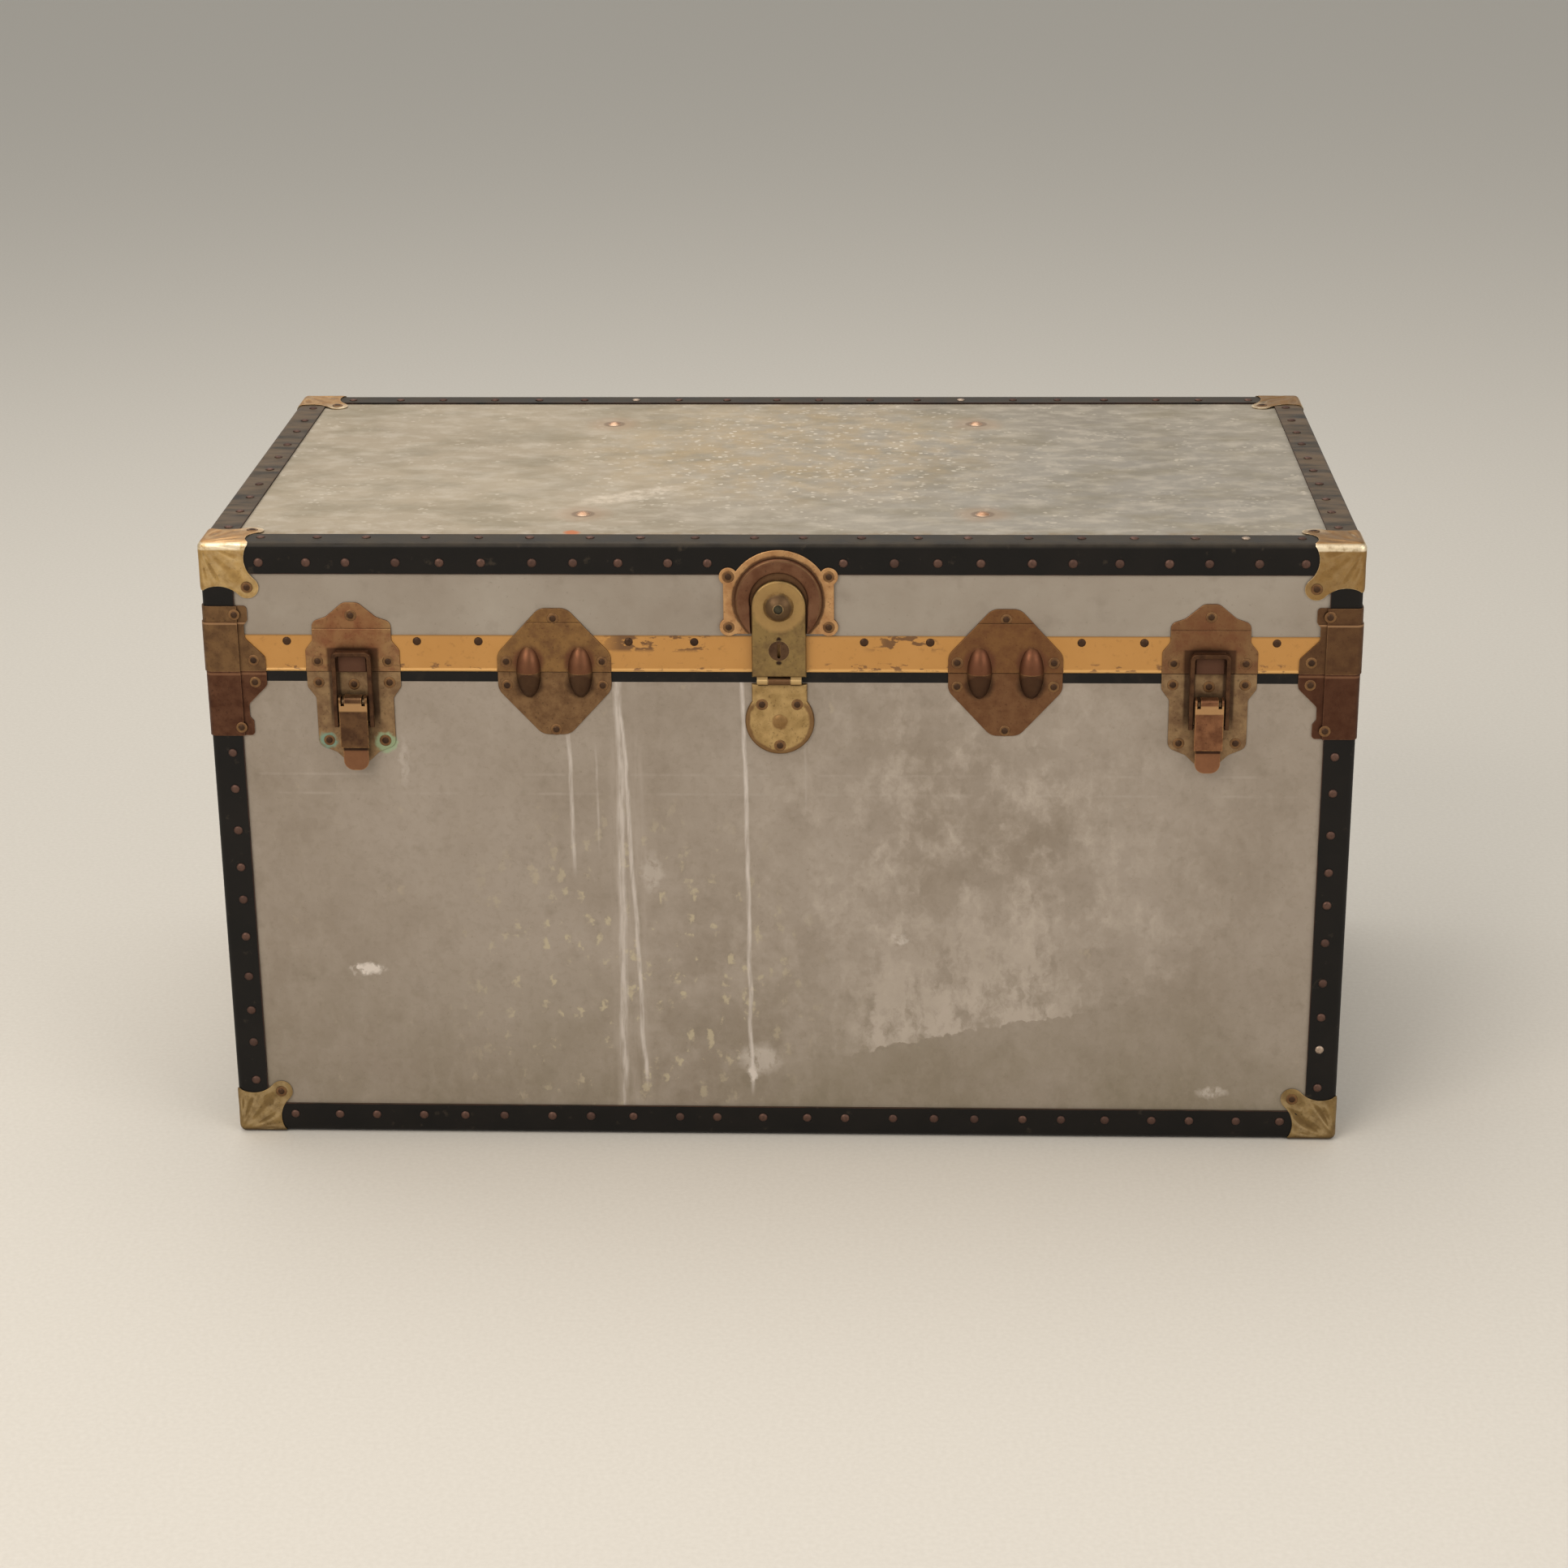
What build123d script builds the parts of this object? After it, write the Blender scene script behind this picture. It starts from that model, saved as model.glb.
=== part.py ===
from build123d import *
import math
import os

# A flat-topped travelling trunk: plywood boards under aluminium sheets, with fibre bindings on
# every edge, pressed steel fittings, and a lid on three back hinges.
# The front faces -Y, +Z is up, and the origin is on the floor under the middle of the case.
# A level is a distance out from the faces of the bindings, so what lies under them is negative.

# Case
case_length = 912.0
case_depth = 484.0
base_height = 405.8
lid_height = 105.9
seam = 0.3
board_thickness = 9.5
board_round = 3.0
sheet_thickness = 0.8
sheet_margin = 6.0
lining_thickness = 0.6
binding_leg = 25.5
binding_thickness = 1.6
binding_round = 4.5
fit_gap = 0.3

# Bands round the seam
band_height = 30.0
band_thickness = 0.8
bead_height = 2.6
bead_reach = 0.9
rim_strip_height = 8.5

# Corner caps, one outline for each of a cap's three faces, measured from the corner
cap_thickness = 1.2
cap_reach = 39.0
cap_scallop = 35.5
cap_ear_centre = 36.5
cap_ear_radius = 9.2
cap_ear_turn = 50.0

# Corner clamps, measured from the corner and from the seam
clamp_height = 54.0
clamp_crease = 40.7
clamp_ear_reach = 47.5
clamp_ear_height = 12.0
clamp_waist = 32.0
clamp_tip_reach = 35.0
clamp_upper_nail = (25.0, 47.0)
clamp_lower_nail = (38.0, 9.2)

# Pressed plates
plate_thickness = 1.2
plate_edge = 0.5

# Draw bolts
latch_offset = 338.7
catch_height = 57.0
catch_crease = 35.5
catch_waist = 31.5
catch_ear = 37.5
catch_block_width = 24.0
catch_block_height = 16.0
catch_block_lift = 0.8
catch_block_level = 5.5
catch_block_round = 1.4
catch_upper_nail = (0.0, 46.4)
catch_lower_nails = ((-28.2, 8.4), (28.2, 8.4))
keeper_depth = 76.0
keeper_nails = ((-28.4, -9.2), (28.4, -9.2), (-22.5, -58.0), (22.5, -58.0), (0.0, -10.7))
lever_pivot_drop = 23.0
lever_pivot_level = 7.0
lever_width = 22.5
lever_sheet = 1.5
lever_top = 5.1
lever_drop = 37.0
lever_inner = 3.5
tongue_width = 20.0
tongue_length = 20.0
tongue_level = 0.5
tongue_round = 8.0
lever_top_round = 2.5
lever_end_round = 1.3
pin_radius = 1.5
pin_gap = 0.08
ear_thickness = 1.8
ear_gap = 0.75
ear_slot_gap = 0.3
ear_slot_drop = 2.0
pin_head_gap = 0.4
ear_radius = 3.2
loop_pivot_drop = 18.0
loop_pivot_level = 8.0
loop_bar = 3.6
loop_depth = 4.0
loop_rise = 60.0
loop_tail = 2.5
loop_side_gap = 1.05
loop_outer_round = 5.0
loop_inner_round = 2.0
loop_edge = 0.8

# Dowel plates
dowel_offset = 178.5
dowel_half_width = 45.2
dowel_height = 52.5
dowel_crease = 40.7
dowel_shoulder = 15.0
dowel_tip = 11.0
dowel_round = 12.0
bump_offset = 20.5
bump_radius = 10.3
bump_half_height = 22.3
bump_sink = 3.0
dowel_radius = 2.0
dowel_length = 8.0
dowel_gap = 0.4
dowel_level = 2.4
dowel_upper_nail = (0.0, 44.1)
dowel_lower_nails = ((-38.0, 8.6), (38.0, 8.6))
dowel_base_nails = ((-38.0, -11.2), (38.0, -11.2), (0.0, -48.1))

# Lock and hasp
lock_plate_level = 1.2
lock_arch_radius = 41.0
lock_centre_rise = 59.7
lock_half_width = 43.5
lock_ear_radius = 7.3
lock_bottom_rise = 32.2
lock_nail_x = 39.4
lock_upper_nail_rise = 79.2
lock_lower_nail_rise = 37.8
ring_outer_radius = 34.0
ring_inner_radius = 28.7
ring_height = 3.4
ring_round = 1.4
hasp_half_width = 21.5
hasp_thickness = 3.4
hasp_level = 1.6
hasp_edge = 2.0
hasp_relief = 0.6
hasp_end_rise = 55.4
hasp_gap = 1.5
hasp_hinge_drop = 6.0
hasp_hinge_level = 2.8
hasp_barrel_radius = 3.0
hasp_knuckle = 8.4
hasp_middle_knuckle = 17.8
hasp_pin_radius = 1.3
dome_radius = 12.0
dome_height = 7.0
button_radius = 3.6
button_sink = 1.5
button_flange_radius = 6.2
button_flange = 1.2
drum_radius = 8.0
drum_rise = 19.4
drum_proud = 0.3
key_slot_length = 12.0
key_slot_width = 2.6
lock_base_radius = 27.5
lock_base_drop = 40.5
lock_base_thickness = 3.0
lock_neck_half_width = 22.0
lock_stud_radius = 5.5
lock_stud_height = 1.2
lock_base_nails = ((-14.0, -26.0), (14.0, -26.0), (0.0, -60.4))

# Back hinges
hinge_offsets = (-300.0, 0.0, 300.0)
hinge_width = 50.0
hinge_leaf_height = 34.0
hinge_leaf_thickness = 1.5
hinge_axis_level = 4.5
hinge_barrel_radius = 3.5
hinge_pin_radius = 1.6
hinge_pin_gap = 0.05
hinge_knuckles = 5
hinge_relief = 0.85
hinge_leaf_round = 4.0
hinge_pin_end = 0.6
hinge_nail_x = 17.0
hinge_nail_rises = (14.0, 27.0)

# End handles
handle_height = 250.0
strap_width = 28.0
strap_thickness = 5.0
strap_end = 96.0
strap_bend_start = 66.0
strap_bend_end = 46.0
strap_reach = 24.0
strap_bend_radius = 12.0
handle_cap_end = 100.0
handle_cap_length = 28.0
handle_cap_round = 5.0
handle_cap_wall = 1.5
handle_cap_flange = 10.0

# Lid stays: a parallelogram with the lid's hinge as one of its four pivots
stay_short = 80.0
stay_long = 140.0
stay_lid_angle = 165.0
stay_base_angle = 225.0
stay_bar_width = 12.0
stay_bar_thickness = 2.0
stay_layer_gap = 0.4
stay_plate_length = 30.0
stay_plate_width = 24.0
stay_plate_thickness = 1.5
stay_plate_round = 4.0
stay_shoulder_radius = 5.0
stay_pin_radius = 2.5
stay_pin_gap = 0.06
stay_knee_gap = 0.5
stay_head_radius = 4.4
stay_head = 1.0

# Lid battens and their rivets
batten_offset = 161.0
batten_width = 42.0
batten_thickness = 10.0
batten_end_gap = 4.0
rivet_y = (-152.0, 143.0)
rivet_radius = 2.5
rivet_gap = 0.05
rivet_head_radius = 6.0
rivet_head_height = 2.4
rivet_burr_radius = 5.0
rivet_burr_height = 1.4

# Nails
nail_inset = 16.0
nail_end = 47.0
nail_pitch = 36.0
nail_pitch_ends = 43.0
nail_pitch_upright = 32.0
nail_wobble = 2.5
nail_radius = 3.3
nail_height = 1.1
fitting_nail_radius = 2.5
fitting_nail_height = 0.9
band_nail_radius = 3.0
band_nail_height = 1.1
band_nail_rise = 25.0
band_nail_places = {
    "front": (67.0, 119.0, 238.0, 287.0, 390.5),
    "back": (75.0, 150.0, 225.0, 390.5),
    "left": (57.0, 170.0),
    "right": (57.0, 170.0),
}

# Derived places
sheet_level = -binding_thickness
board_level = sheet_level - sheet_thickness
band_level = sheet_level + band_thickness
plate_level = sheet_level + plate_thickness
half_length = case_length / 2
half_depth = case_depth / 2
bottom_z = cap_thickness
rim_z = bottom_z + base_height
lid_rim_z = rim_z + seam
top_z = lid_rim_z + lid_height
board_x = half_length + board_level
board_y = half_depth + board_level
inner_x = board_x - board_thickness
inner_y = board_y - board_thickness
floor_z = bottom_z - board_level
roof_z = top_z + board_level
strip_end = binding_leg + fit_gap
cap_round = binding_round + cap_thickness
latch_places = {"left": -latch_offset, "right": latch_offset}
hinge_z = rim_z + seam / 2
wide = case_length

WALLS = {
    "front": ((1, 0, 0), (0, -1, 0), half_depth),
    "back": ((-1, 0, 0), (0, 1, 0), half_depth),
    "right": ((0, 1, 0), (1, 0, 0), half_length),
    "left": ((0, -1, 0), (-1, 0, 0), half_length),
}


def wall(side, level=0.0, at=0.0):
    """Plane on a wall at a level: x along the wall from a place on it, y up from the floor."""
    along, out, reach = WALLS[side]
    origin = Vector(*out) * (reach + level) + Vector(*along) * at
    return Plane(origin=origin, x_dir=along, z_dir=out)


def section(side, at=0.0):
    """Plane square to a wall: x outwards from the bindings' faces, y up from the floor."""
    along, out, reach = WALLS[side]
    origin = Vector(*out) * reach + Vector(*along) * at
    return Plane(origin=origin, x_dir=out, z_dir=Vector(*out).cross(Vector(0, 0, 1)))


def finish(builder, name):
    """Labels a finished piece with its node's name and writes it."""
    builder.part.label = name
    export_step(builder.part, f"parts/{name}.step")


def band_between(outline, low, high):
    """The part of an outline between two heights."""
    with BuildSketch() as cut:
        add(outline)
        with Locations((0, (low + high) / 2)):
            Rectangle(wide, high - low, mode=Mode.INTERSECT)
    return cut.sketch


def mirrored_outline(points, radii):
    """A closed outline from its right half, whose first and last points are on its middle line
    or on the seam."""
    with BuildSketch() as outline:
        with BuildLine():
            half = FilletPolyline(*points, radius=radii)
            mirror(half, about=Plane.YZ)
            start, end = half @ 0, half @ 1
            if start.X > 0:
                Line((-start.X, start.Y), (start.X, start.Y))
            if end.X > 0:
                Line((-end.X, end.Y), (end.X, end.Y))
        make_face()
    return outline.sketch


def dome(radius, height):
    """A low domed head, a cap of a sphere, seated on the plane that it is placed on."""
    sphere = (radius**2 + height**2) / (2 * height)
    with BuildPart() as head:
        Cylinder(2 * radius, height, align=(Align.CENTER, Align.CENTER, Align.MIN))
        with Locations((0, 0, height - sphere)):
            Sphere(sphere, mode=Mode.INTERSECT)
    return head.part


def heads(places, radius, height):
    """Domed heads at a list of locations, as one group of separate solids."""
    head = dome(radius, height)
    with BuildPart() as group:
        with Locations(*places):
            add(head, clean=False)
    return group


def row(length, pitch):
    """Places along an edge of this length, set by hand and so a little uneven."""
    run = length - 2 * nail_end
    count = max(2, round(run / pitch) + 1)
    step = run / (count - 1)
    return [
        -run / 2 + i * step + nail_wobble * math.sin(2.3 * i) for i in range(count)
    ]


os.makedirs("parts", exist_ok=True)


# Boards: the front and back boards run the full length, the end boards stand between them
def wall_board(side, low, high, closed_z):
    long_side = side in ("front", "back")
    out = Axis((0, 0, 0), WALLS[side][1])
    with BuildPart() as board:
        with BuildSketch(wall(side, board_level)):
            with Locations((0, (low + high) / 2)):
                Rectangle(2 * board_x if long_side else 2 * inner_y, high - low)
        extrude(amount=-board_thickness)
        outer = board.faces().sort_by(out)[-1].edges()
        rounded = outer.sort_by(Axis.Z)[-1 if closed_z > low else 0:][:1]
        if long_side:
            rounded += outer.filter_by(Axis.Z)
        fillet(rounded, board_round)
    return board


for side in WALLS:
    finish(wall_board(side, floor_z, rim_z, floor_z), f"base_{side}_board")
    finish(wall_board(side, lid_rim_z, roof_z, roof_z), f"lid_{side}_board")

with BuildPart() as base_floor_board:
    with Locations((0, 0, floor_z)):
        Box(2 * inner_x, 2 * inner_y, board_thickness, align=(Align.CENTER, Align.CENTER, Align.MIN))
finish(base_floor_board, "base_floor_board")

rivet_places = [(side * batten_offset, y) for side in (-1, 1) for y in rivet_y]

with BuildPart() as lid_top_board:
    with BuildSketch(Plane.XY.offset(roof_z)):
        Rectangle(2 * inner_x, 2 * inner_y)
        with Locations(*rivet_places):
            Circle(rivet_radius + rivet_gap, mode=Mode.SUBTRACT)
    extrude(amount=-board_thickness)
finish(lid_top_board, "lid_top_board")


# Aluminium sheets, nailed over the boards under the bindings
def wall_sheet(side, low, high):
    reach = board_x if side in ("front", "back") else board_y
    with BuildPart() as sheet:
        with BuildSketch(wall(side, board_level)):
            with Locations((0, (low + high) / 2)):
                Rectangle(2 * (reach - sheet_margin), high - low)
        extrude(amount=sheet_thickness)
    return sheet.part


base_sheet_top = rim_z - rim_strip_height
for side in ("front", "back"):
    with BuildPart() as base_sheet:
        add(wall_sheet(side, floor_z + sheet_margin, base_sheet_top))
    finish(base_sheet, f"base_{side}_sheet")
    with BuildPart() as lid_sheet:
        add(wall_sheet(side, lid_rim_z, roof_z - sheet_margin))
    finish(lid_sheet, f"lid_{side}_sheet")

base_end_pair = [wall_sheet(side, floor_z + sheet_margin, base_sheet_top) for side in ("left", "right")]
lid_end_pair = [wall_sheet(side, lid_rim_z, roof_z - sheet_margin) for side in ("left", "right")]
with BuildPart() as base_end_sheets:
    add(base_end_pair)
finish(base_end_sheets, "base_end_sheets")
with BuildPart() as lid_end_sheets:
    add(lid_end_pair)
finish(lid_end_sheets, "lid_end_sheets")

with BuildPart() as base_floor_sheet:
    with BuildSketch(Plane.XY.offset(floor_z)):
        Rectangle(2 * (board_x - sheet_margin), 2 * (board_y - sheet_margin))
    extrude(amount=-sheet_thickness)
finish(base_floor_sheet, "base_floor_sheet")

with BuildPart() as lid_top_sheet:
    with BuildSketch(Plane.XY.offset(roof_z)):
        Rectangle(2 * (board_x - sheet_margin), 2 * (board_y - sheet_margin))
        with Locations(*rivet_places):
            Circle(rivet_radius + rivet_gap, mode=Mode.SUBTRACT)
    extrude(amount=sheet_thickness)
finish(lid_top_sheet, "lid_top_sheet")

# Paper linings, open at the seam
lining_x = inner_x - lining_thickness
lining_y = inner_y - lining_thickness
base_lining_z = floor_z + board_thickness
lid_lining_z = roof_z - board_thickness

with BuildPart() as base_lining:
    with BuildSketch(Plane.XY.offset(base_lining_z)):
        Rectangle(2 * inner_x, 2 * inner_y)
    extrude(amount=rim_z - base_lining_z)
    with BuildSketch(Plane.XY.offset(base_lining_z + lining_thickness)):
        Rectangle(2 * lining_x, 2 * lining_y)
    extrude(amount=base_height, mode=Mode.SUBTRACT)
finish(base_lining, "base_lining")

with BuildPart() as lid_lining:
    with BuildSketch(Plane.XY.offset(lid_lining_z)):
        Rectangle(2 * inner_x, 2 * inner_y)
        with Locations(*rivet_places):
            Circle(rivet_radius + rivet_gap, mode=Mode.SUBTRACT)
    extrude(amount=lid_rim_z - lid_lining_z)
    with BuildSketch(Plane.XY.offset(lid_lining_z - lining_thickness)):
        Rectangle(2 * lining_x, 2 * lining_y)
    extrude(amount=-lid_height, mode=Mode.SUBTRACT)
finish(lid_lining, "lid_lining")

# Battens under the lid's top, each held by two clenched rivets
batten_top = lid_lining_z - lining_thickness
with BuildPart() as lid_battens:
    with BuildSketch(Plane.XY.offset(batten_top)):
        with Locations((-batten_offset, 0), (batten_offset, 0)):
            Rectangle(batten_width, 2 * (lining_y - batten_end_gap))
        with Locations(*rivet_places):
            Circle(rivet_radius + rivet_gap, mode=Mode.SUBTRACT)
    extrude(amount=-batten_thickness)
finish(lid_battens, "lid_battens")

with BuildPart() as rivet:
    with BuildSketch(Plane.XY.offset(roof_z + sheet_thickness)):
        Circle(rivet_radius)
    extrude(amount=-(roof_z + sheet_thickness - batten_top + batten_thickness))
    with Locations((0, 0, roof_z + sheet_thickness)):
        add(dome(rivet_head_radius, rivet_head_height))
    with BuildSketch(Plane.XY.offset(batten_top - batten_thickness)):
        Circle(rivet_burr_radius)
    extrude(amount=-rivet_burr_height)
with BuildPart() as lid_rivets:
    with Locations(*rivet_places):
        add(rivet.part)
finish(lid_rivets, "lid_rivets")


# Fibre bindings, bent to an angle, each cut off short of the corners
def angle_section(leg, thickness, outer_round):
    """An angle with its outer corner at the origin and its legs along x and y."""
    with BuildSketch() as angle:
        with BuildLine():
            Polyline(
                (0, 0), (leg, 0), (leg, thickness), (thickness, thickness), (thickness, leg), (0, leg), (0, 0)
            )
        make_face()
        fillet(angle.vertices().sort_by_distance((thickness, thickness))[0], outer_round - thickness)
        fillet(angle.vertices().sort_by_distance((0, 0))[0], outer_round)
    return angle.sketch


def strip(angle, origin, leg_a, leg_b, half_run):
    """An angle section run both ways from a point on an edge."""
    normal = Vector(*leg_a).cross(Vector(*leg_b))
    with BuildPart() as run:
        with BuildSketch(Plane(origin=origin, x_dir=leg_a, z_dir=normal)):
            add(angle)
        extrude(amount=half_run, both=True)
    return run.part


binding = angle_section(binding_leg, binding_thickness, binding_round)


def level_bindings(z, inward):
    """The four bindings round one face, with their legs inwards and along the walls."""
    strips = []
    for way in (-1, 1):
        strips.append(
            strip(binding, (0, way * half_depth, z), (0, -way, 0), (0, 0, inward), half_length - strip_end)
        )
        strips.append(
            strip(binding, (way * half_length, 0, z), (-way, 0, 0), (0, 0, inward), half_depth - strip_end)
        )
    return strips


def upright_bindings(low, high):
    """The four upright bindings between two heights."""
    return [
        strip(
            binding,
            (x_way * half_length, y_way * half_depth, (low + high) / 2),
            (-x_way, 0, 0),
            (0, -y_way, 0),
            (high - low) / 2,
        )
        for x_way in (-1, 1)
        for y_way in (-1, 1)
    ]


binding_groups = {
    "base_bottom_bindings": level_bindings(bottom_z, 1),
    "base_corner_bindings": upright_bindings(bottom_z + strip_end, rim_z),
    "lid_top_bindings": level_bindings(top_z, -1),
    "lid_corner_bindings": upright_bindings(lid_rim_z, top_z - strip_end),
}
for name, strips in binding_groups.items():
    with BuildPart() as group:
        add(strips)
    finish(group, name)

# Lacquered steel band round the lid's rim, its rolled lower edge cut away under the fittings
with BuildSketch() as bead_section:
    with BuildLine():
        ThreePointArc(
            (band_level, lid_rim_z),
            (band_level + bead_reach, lid_rim_z + bead_height / 2),
            (band_level, lid_rim_z + bead_height),
        )
        Line((band_level, lid_rim_z + bead_height), (band_level, lid_rim_z))
    make_face()

bead_gaps = {
    "front": [(x, 2 * catch_ear) for x in latch_places.values()]
    + [(x, 2 * dowel_half_width) for x in (-dowel_offset, dowel_offset)],
    "back": [(x, hinge_width) for x in hinge_offsets],
    "left": [],
    "right": [],
}

band_runs = []
strip_runs = []
for side, gaps in bead_gaps.items():
    long_side = side in ("front", "back")
    reach = half_length if long_side else half_depth
    with BuildPart() as run:
        with BuildSketch(section(side)):
            add(bead_section.sketch)
        extrude(amount=reach - clamp_ear_reach - fit_gap, both=True)
        for at, width in gaps:
            with BuildSketch(wall(side, band_level, at)):
                with Locations((0, lid_rim_z + bead_height / 2)):
                    Rectangle(width + 2 * fit_gap, 2 * bead_height)
            extrude(amount=2 * bead_reach, mode=Mode.SUBTRACT)
        with BuildSketch(wall(side, sheet_level)):
            with Locations((0, lid_rim_z + band_height / 2)):
                Rectangle(2 * (reach - strip_end), band_height)
        extrude(amount=band_thickness)
    band_runs.append(run.part)
    with BuildPart() as run:
        with BuildSketch(wall(side, board_level)):
            with Locations((0, rim_z - rim_strip_height / 2)):
                Rectangle(2 * (reach + board_level - sheet_margin), rim_strip_height)
        extrude(amount=sheet_thickness)
    strip_runs.append(run.part)
with BuildPart() as lid_band:
    add(band_runs)
finish(lid_band, "lid_band")
with BuildPart() as base_rim_strip:
    add(strip_runs)
finish(base_rim_strip, "base_rim_strip")

# Corner caps: a pressed shell over each corner, cut to the same outline on its three faces
cap_turn = math.radians(cap_ear_turn)
ear_foot = (
    cap_ear_centre + cap_ear_radius * math.cos(cap_turn),
    cap_ear_centre - cap_ear_radius * math.sin(cap_turn),
)
ear_point = cap_ear_centre + cap_ear_radius * math.sqrt(0.5)
with BuildSketch() as cap_outline:
    with BuildLine():
        Line((-cap_round, -cap_round), (cap_reach, -cap_round))
        Line((cap_reach, -cap_round), (cap_reach, bottom_z))
        ThreePointArc((cap_reach, bottom_z), (cap_scallop, ear_foot[1] / 2), ear_foot)
        ThreePointArc(ear_foot, (ear_point, ear_point), (ear_foot[1], ear_foot[0]))
        ThreePointArc((ear_foot[1], ear_foot[0]), (ear_foot[1] / 2, cap_scallop), (bottom_z, cap_reach))
        Line((bottom_z, cap_reach), (-cap_round, cap_reach))
        Line((-cap_round, cap_reach), (-cap_round, -cap_round))
    make_face()

cap_corner = Vector(-half_length, -half_depth, top_z)
cap_faces = (((0, 0, -1), (1, 0, 0)), ((1, 0, 0), (0, 1, 0)), ((0, 1, 0), (0, 0, -1)))
ear_start = strip_end * math.sqrt(2) + cap_thickness
ear_tip = cap_ear_centre * math.sqrt(2) + cap_ear_radius
ear_slope = -sheet_level / (ear_tip - ear_start)


def cap_plane(face, level):
    along, up = Vector(*face[0]), Vector(*face[1])
    out = along.cross(up)
    return Plane(origin=cap_corner + out * level, x_dir=along, z_dir=out)


def ear_plane(face):
    """The sloping top of a cap's ear, through the middle of the ear."""
    along, up = Vector(*face[0]), Vector(*face[1])
    out = along.cross(up)
    inwards = (along + up).normalized()
    centre_run = cap_ear_centre * math.sqrt(2)
    height = cap_thickness - ear_slope * (centre_run - ear_start)
    origin = cap_corner + inwards * centre_run + out * height
    return Plane(origin=origin, x_dir=along.cross(out + inwards * ear_slope), z_dir=out + inwards * ear_slope)


with BuildPart() as cap_core:
    with Locations(cap_corner):
        Box(wide, wide, wide, align=(Align.MIN, Align.MIN, Align.MAX))
    fillet(cap_core.edges().sort_by_distance(cap_corner)[:3], binding_round)

with BuildPart() as cap_lobes:
    for face in cap_faces:
        with BuildSketch(cap_plane(face, cap_thickness)):
            add(cap_outline.sketch)
        extrude(amount=-(cap_thickness + cap_round))

outer_corner = cap_corner + Vector(-cap_thickness, -cap_thickness, cap_thickness)
with BuildPart() as cap:
    with Locations(outer_corner):
        Box(2 * cap_reach, 2 * cap_reach, 2 * cap_reach, align=(Align.MIN, Align.MIN, Align.MAX))
    fillet(cap.edges().sort_by_distance(outer_corner)[:3], cap_round)
    add(cap_core.part, mode=Mode.SUBTRACT)
    add(cap_lobes.part, mode=Mode.INTERSECT)
    for face in cap_faces:
        with BuildSketch(cap_plane(face, sheet_level)):
            add(cap_outline.sketch)
            with Locations((strip_end, strip_end)):
                Rectangle(wide, wide, align=(Align.MIN, Align.MIN), mode=Mode.INTERSECT)
        extrude(amount=-sheet_level + cap_thickness)
    for face in cap_faces:
        split(bisect_by=ear_plane(face), keep=Keep.BOTTOM)

with BuildPart() as lid_corner_caps:
    add(cap.part)
    mirror(about=Plane.YZ)
    mirror(about=Plane.XZ)
finish(lid_corner_caps, "lid_corner_caps")

middle_z = (top_z + bottom_z) / 2
with BuildPart() as base_corner_caps:
    mirror(lid_corner_caps.part, about=Plane.XY.offset(middle_z))
finish(base_corner_caps, "base_corner_caps")


# Corner clamps, one half above the seam and one below, each bent round an upright edge
clamp_ear_points = (
    (strip_end, 0),
    (clamp_ear_reach, 0),
    (clamp_ear_reach, clamp_ear_height),
    (clamp_waist, clamp_ear_height + clamp_ear_reach - clamp_waist),
    (clamp_waist, clamp_crease - 2 * plate_thickness),
    (clamp_tip_reach, clamp_crease + plate_thickness),
    (clamp_tip_reach, clamp_height),
    (strip_end, clamp_height),
)
with BuildSketch() as clamp_ear:
    with BuildLine():
        FilletPolyline(*clamp_ear_points, radius=[1, 6, 5, 2, 2, 3])
        Line(clamp_ear_points[-1], clamp_ear_points[0])
    make_face()

clamp_corner = Plane(origin=(-half_length, -half_depth, 0), x_dir=(1, 0, 0), z_dir=(0, -1, 0))
clamp_diagonal = Plane(origin=(-half_length, -half_depth, 0), z_dir=(1, -1, 0))


def clamp_half(zones):
    """Half of a clamp at the front left corner, on the front wall, as zones of its height.
    Each zone gives its lower and upper height, the level under the bent part, and that under
    the ear."""
    with BuildPart() as half:
        for low, high, bend_level, ear_level in zones:
            with BuildSketch(Plane(origin=(-half_length, -half_depth, low))):
                with Locations((-bend_level - plate_thickness, -bend_level - plate_thickness)):
                    add(
                        angle_section(
                            strip_end + 2 * plate_thickness + bend_level,
                            plate_thickness,
                            cap_round + bend_level,
                        )
                    )
            extrude(amount=high - low)
            with BuildSketch(clamp_corner.offset(ear_level)):
                add(band_between(clamp_ear.sketch, low, high))
            extrude(amount=plate_thickness)
            with BuildSketch(clamp_corner.offset(ear_level)):
                with Locations((strip_end, low)):
                    Rectangle(plate_thickness, high - low, align=(Align.MIN, Align.MIN))
            extrude(amount=bend_level + plate_thickness - ear_level)
        mirror(about=clamp_diagonal)
    return half.part


def corner_set(part):
    """A part for the front left corner, repeated at all four corners."""
    with BuildPart() as group:
        add(part)
        mirror(about=Plane.YZ)
        mirror(about=Plane.XZ)
    return group


lid_clamp_zones = (
    (0, clamp_crease, band_thickness, band_level),
    (clamp_crease - plate_thickness, clamp_height, 0, sheet_level),
)
with BuildPart() as lid_clamp:
    with Locations((0, 0, lid_rim_z)):
        add(clamp_half(lid_clamp_zones))
with BuildPart() as base_clamp:
    mirror(
        clamp_half(((0, clamp_height, 0, sheet_level),)).moved(Location((0, 0, -rim_z))), about=Plane.XY
    )
finish(corner_set(lid_clamp.part), "lid_clamps")
finish(corner_set(base_clamp.part), "base_clamps")


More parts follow.
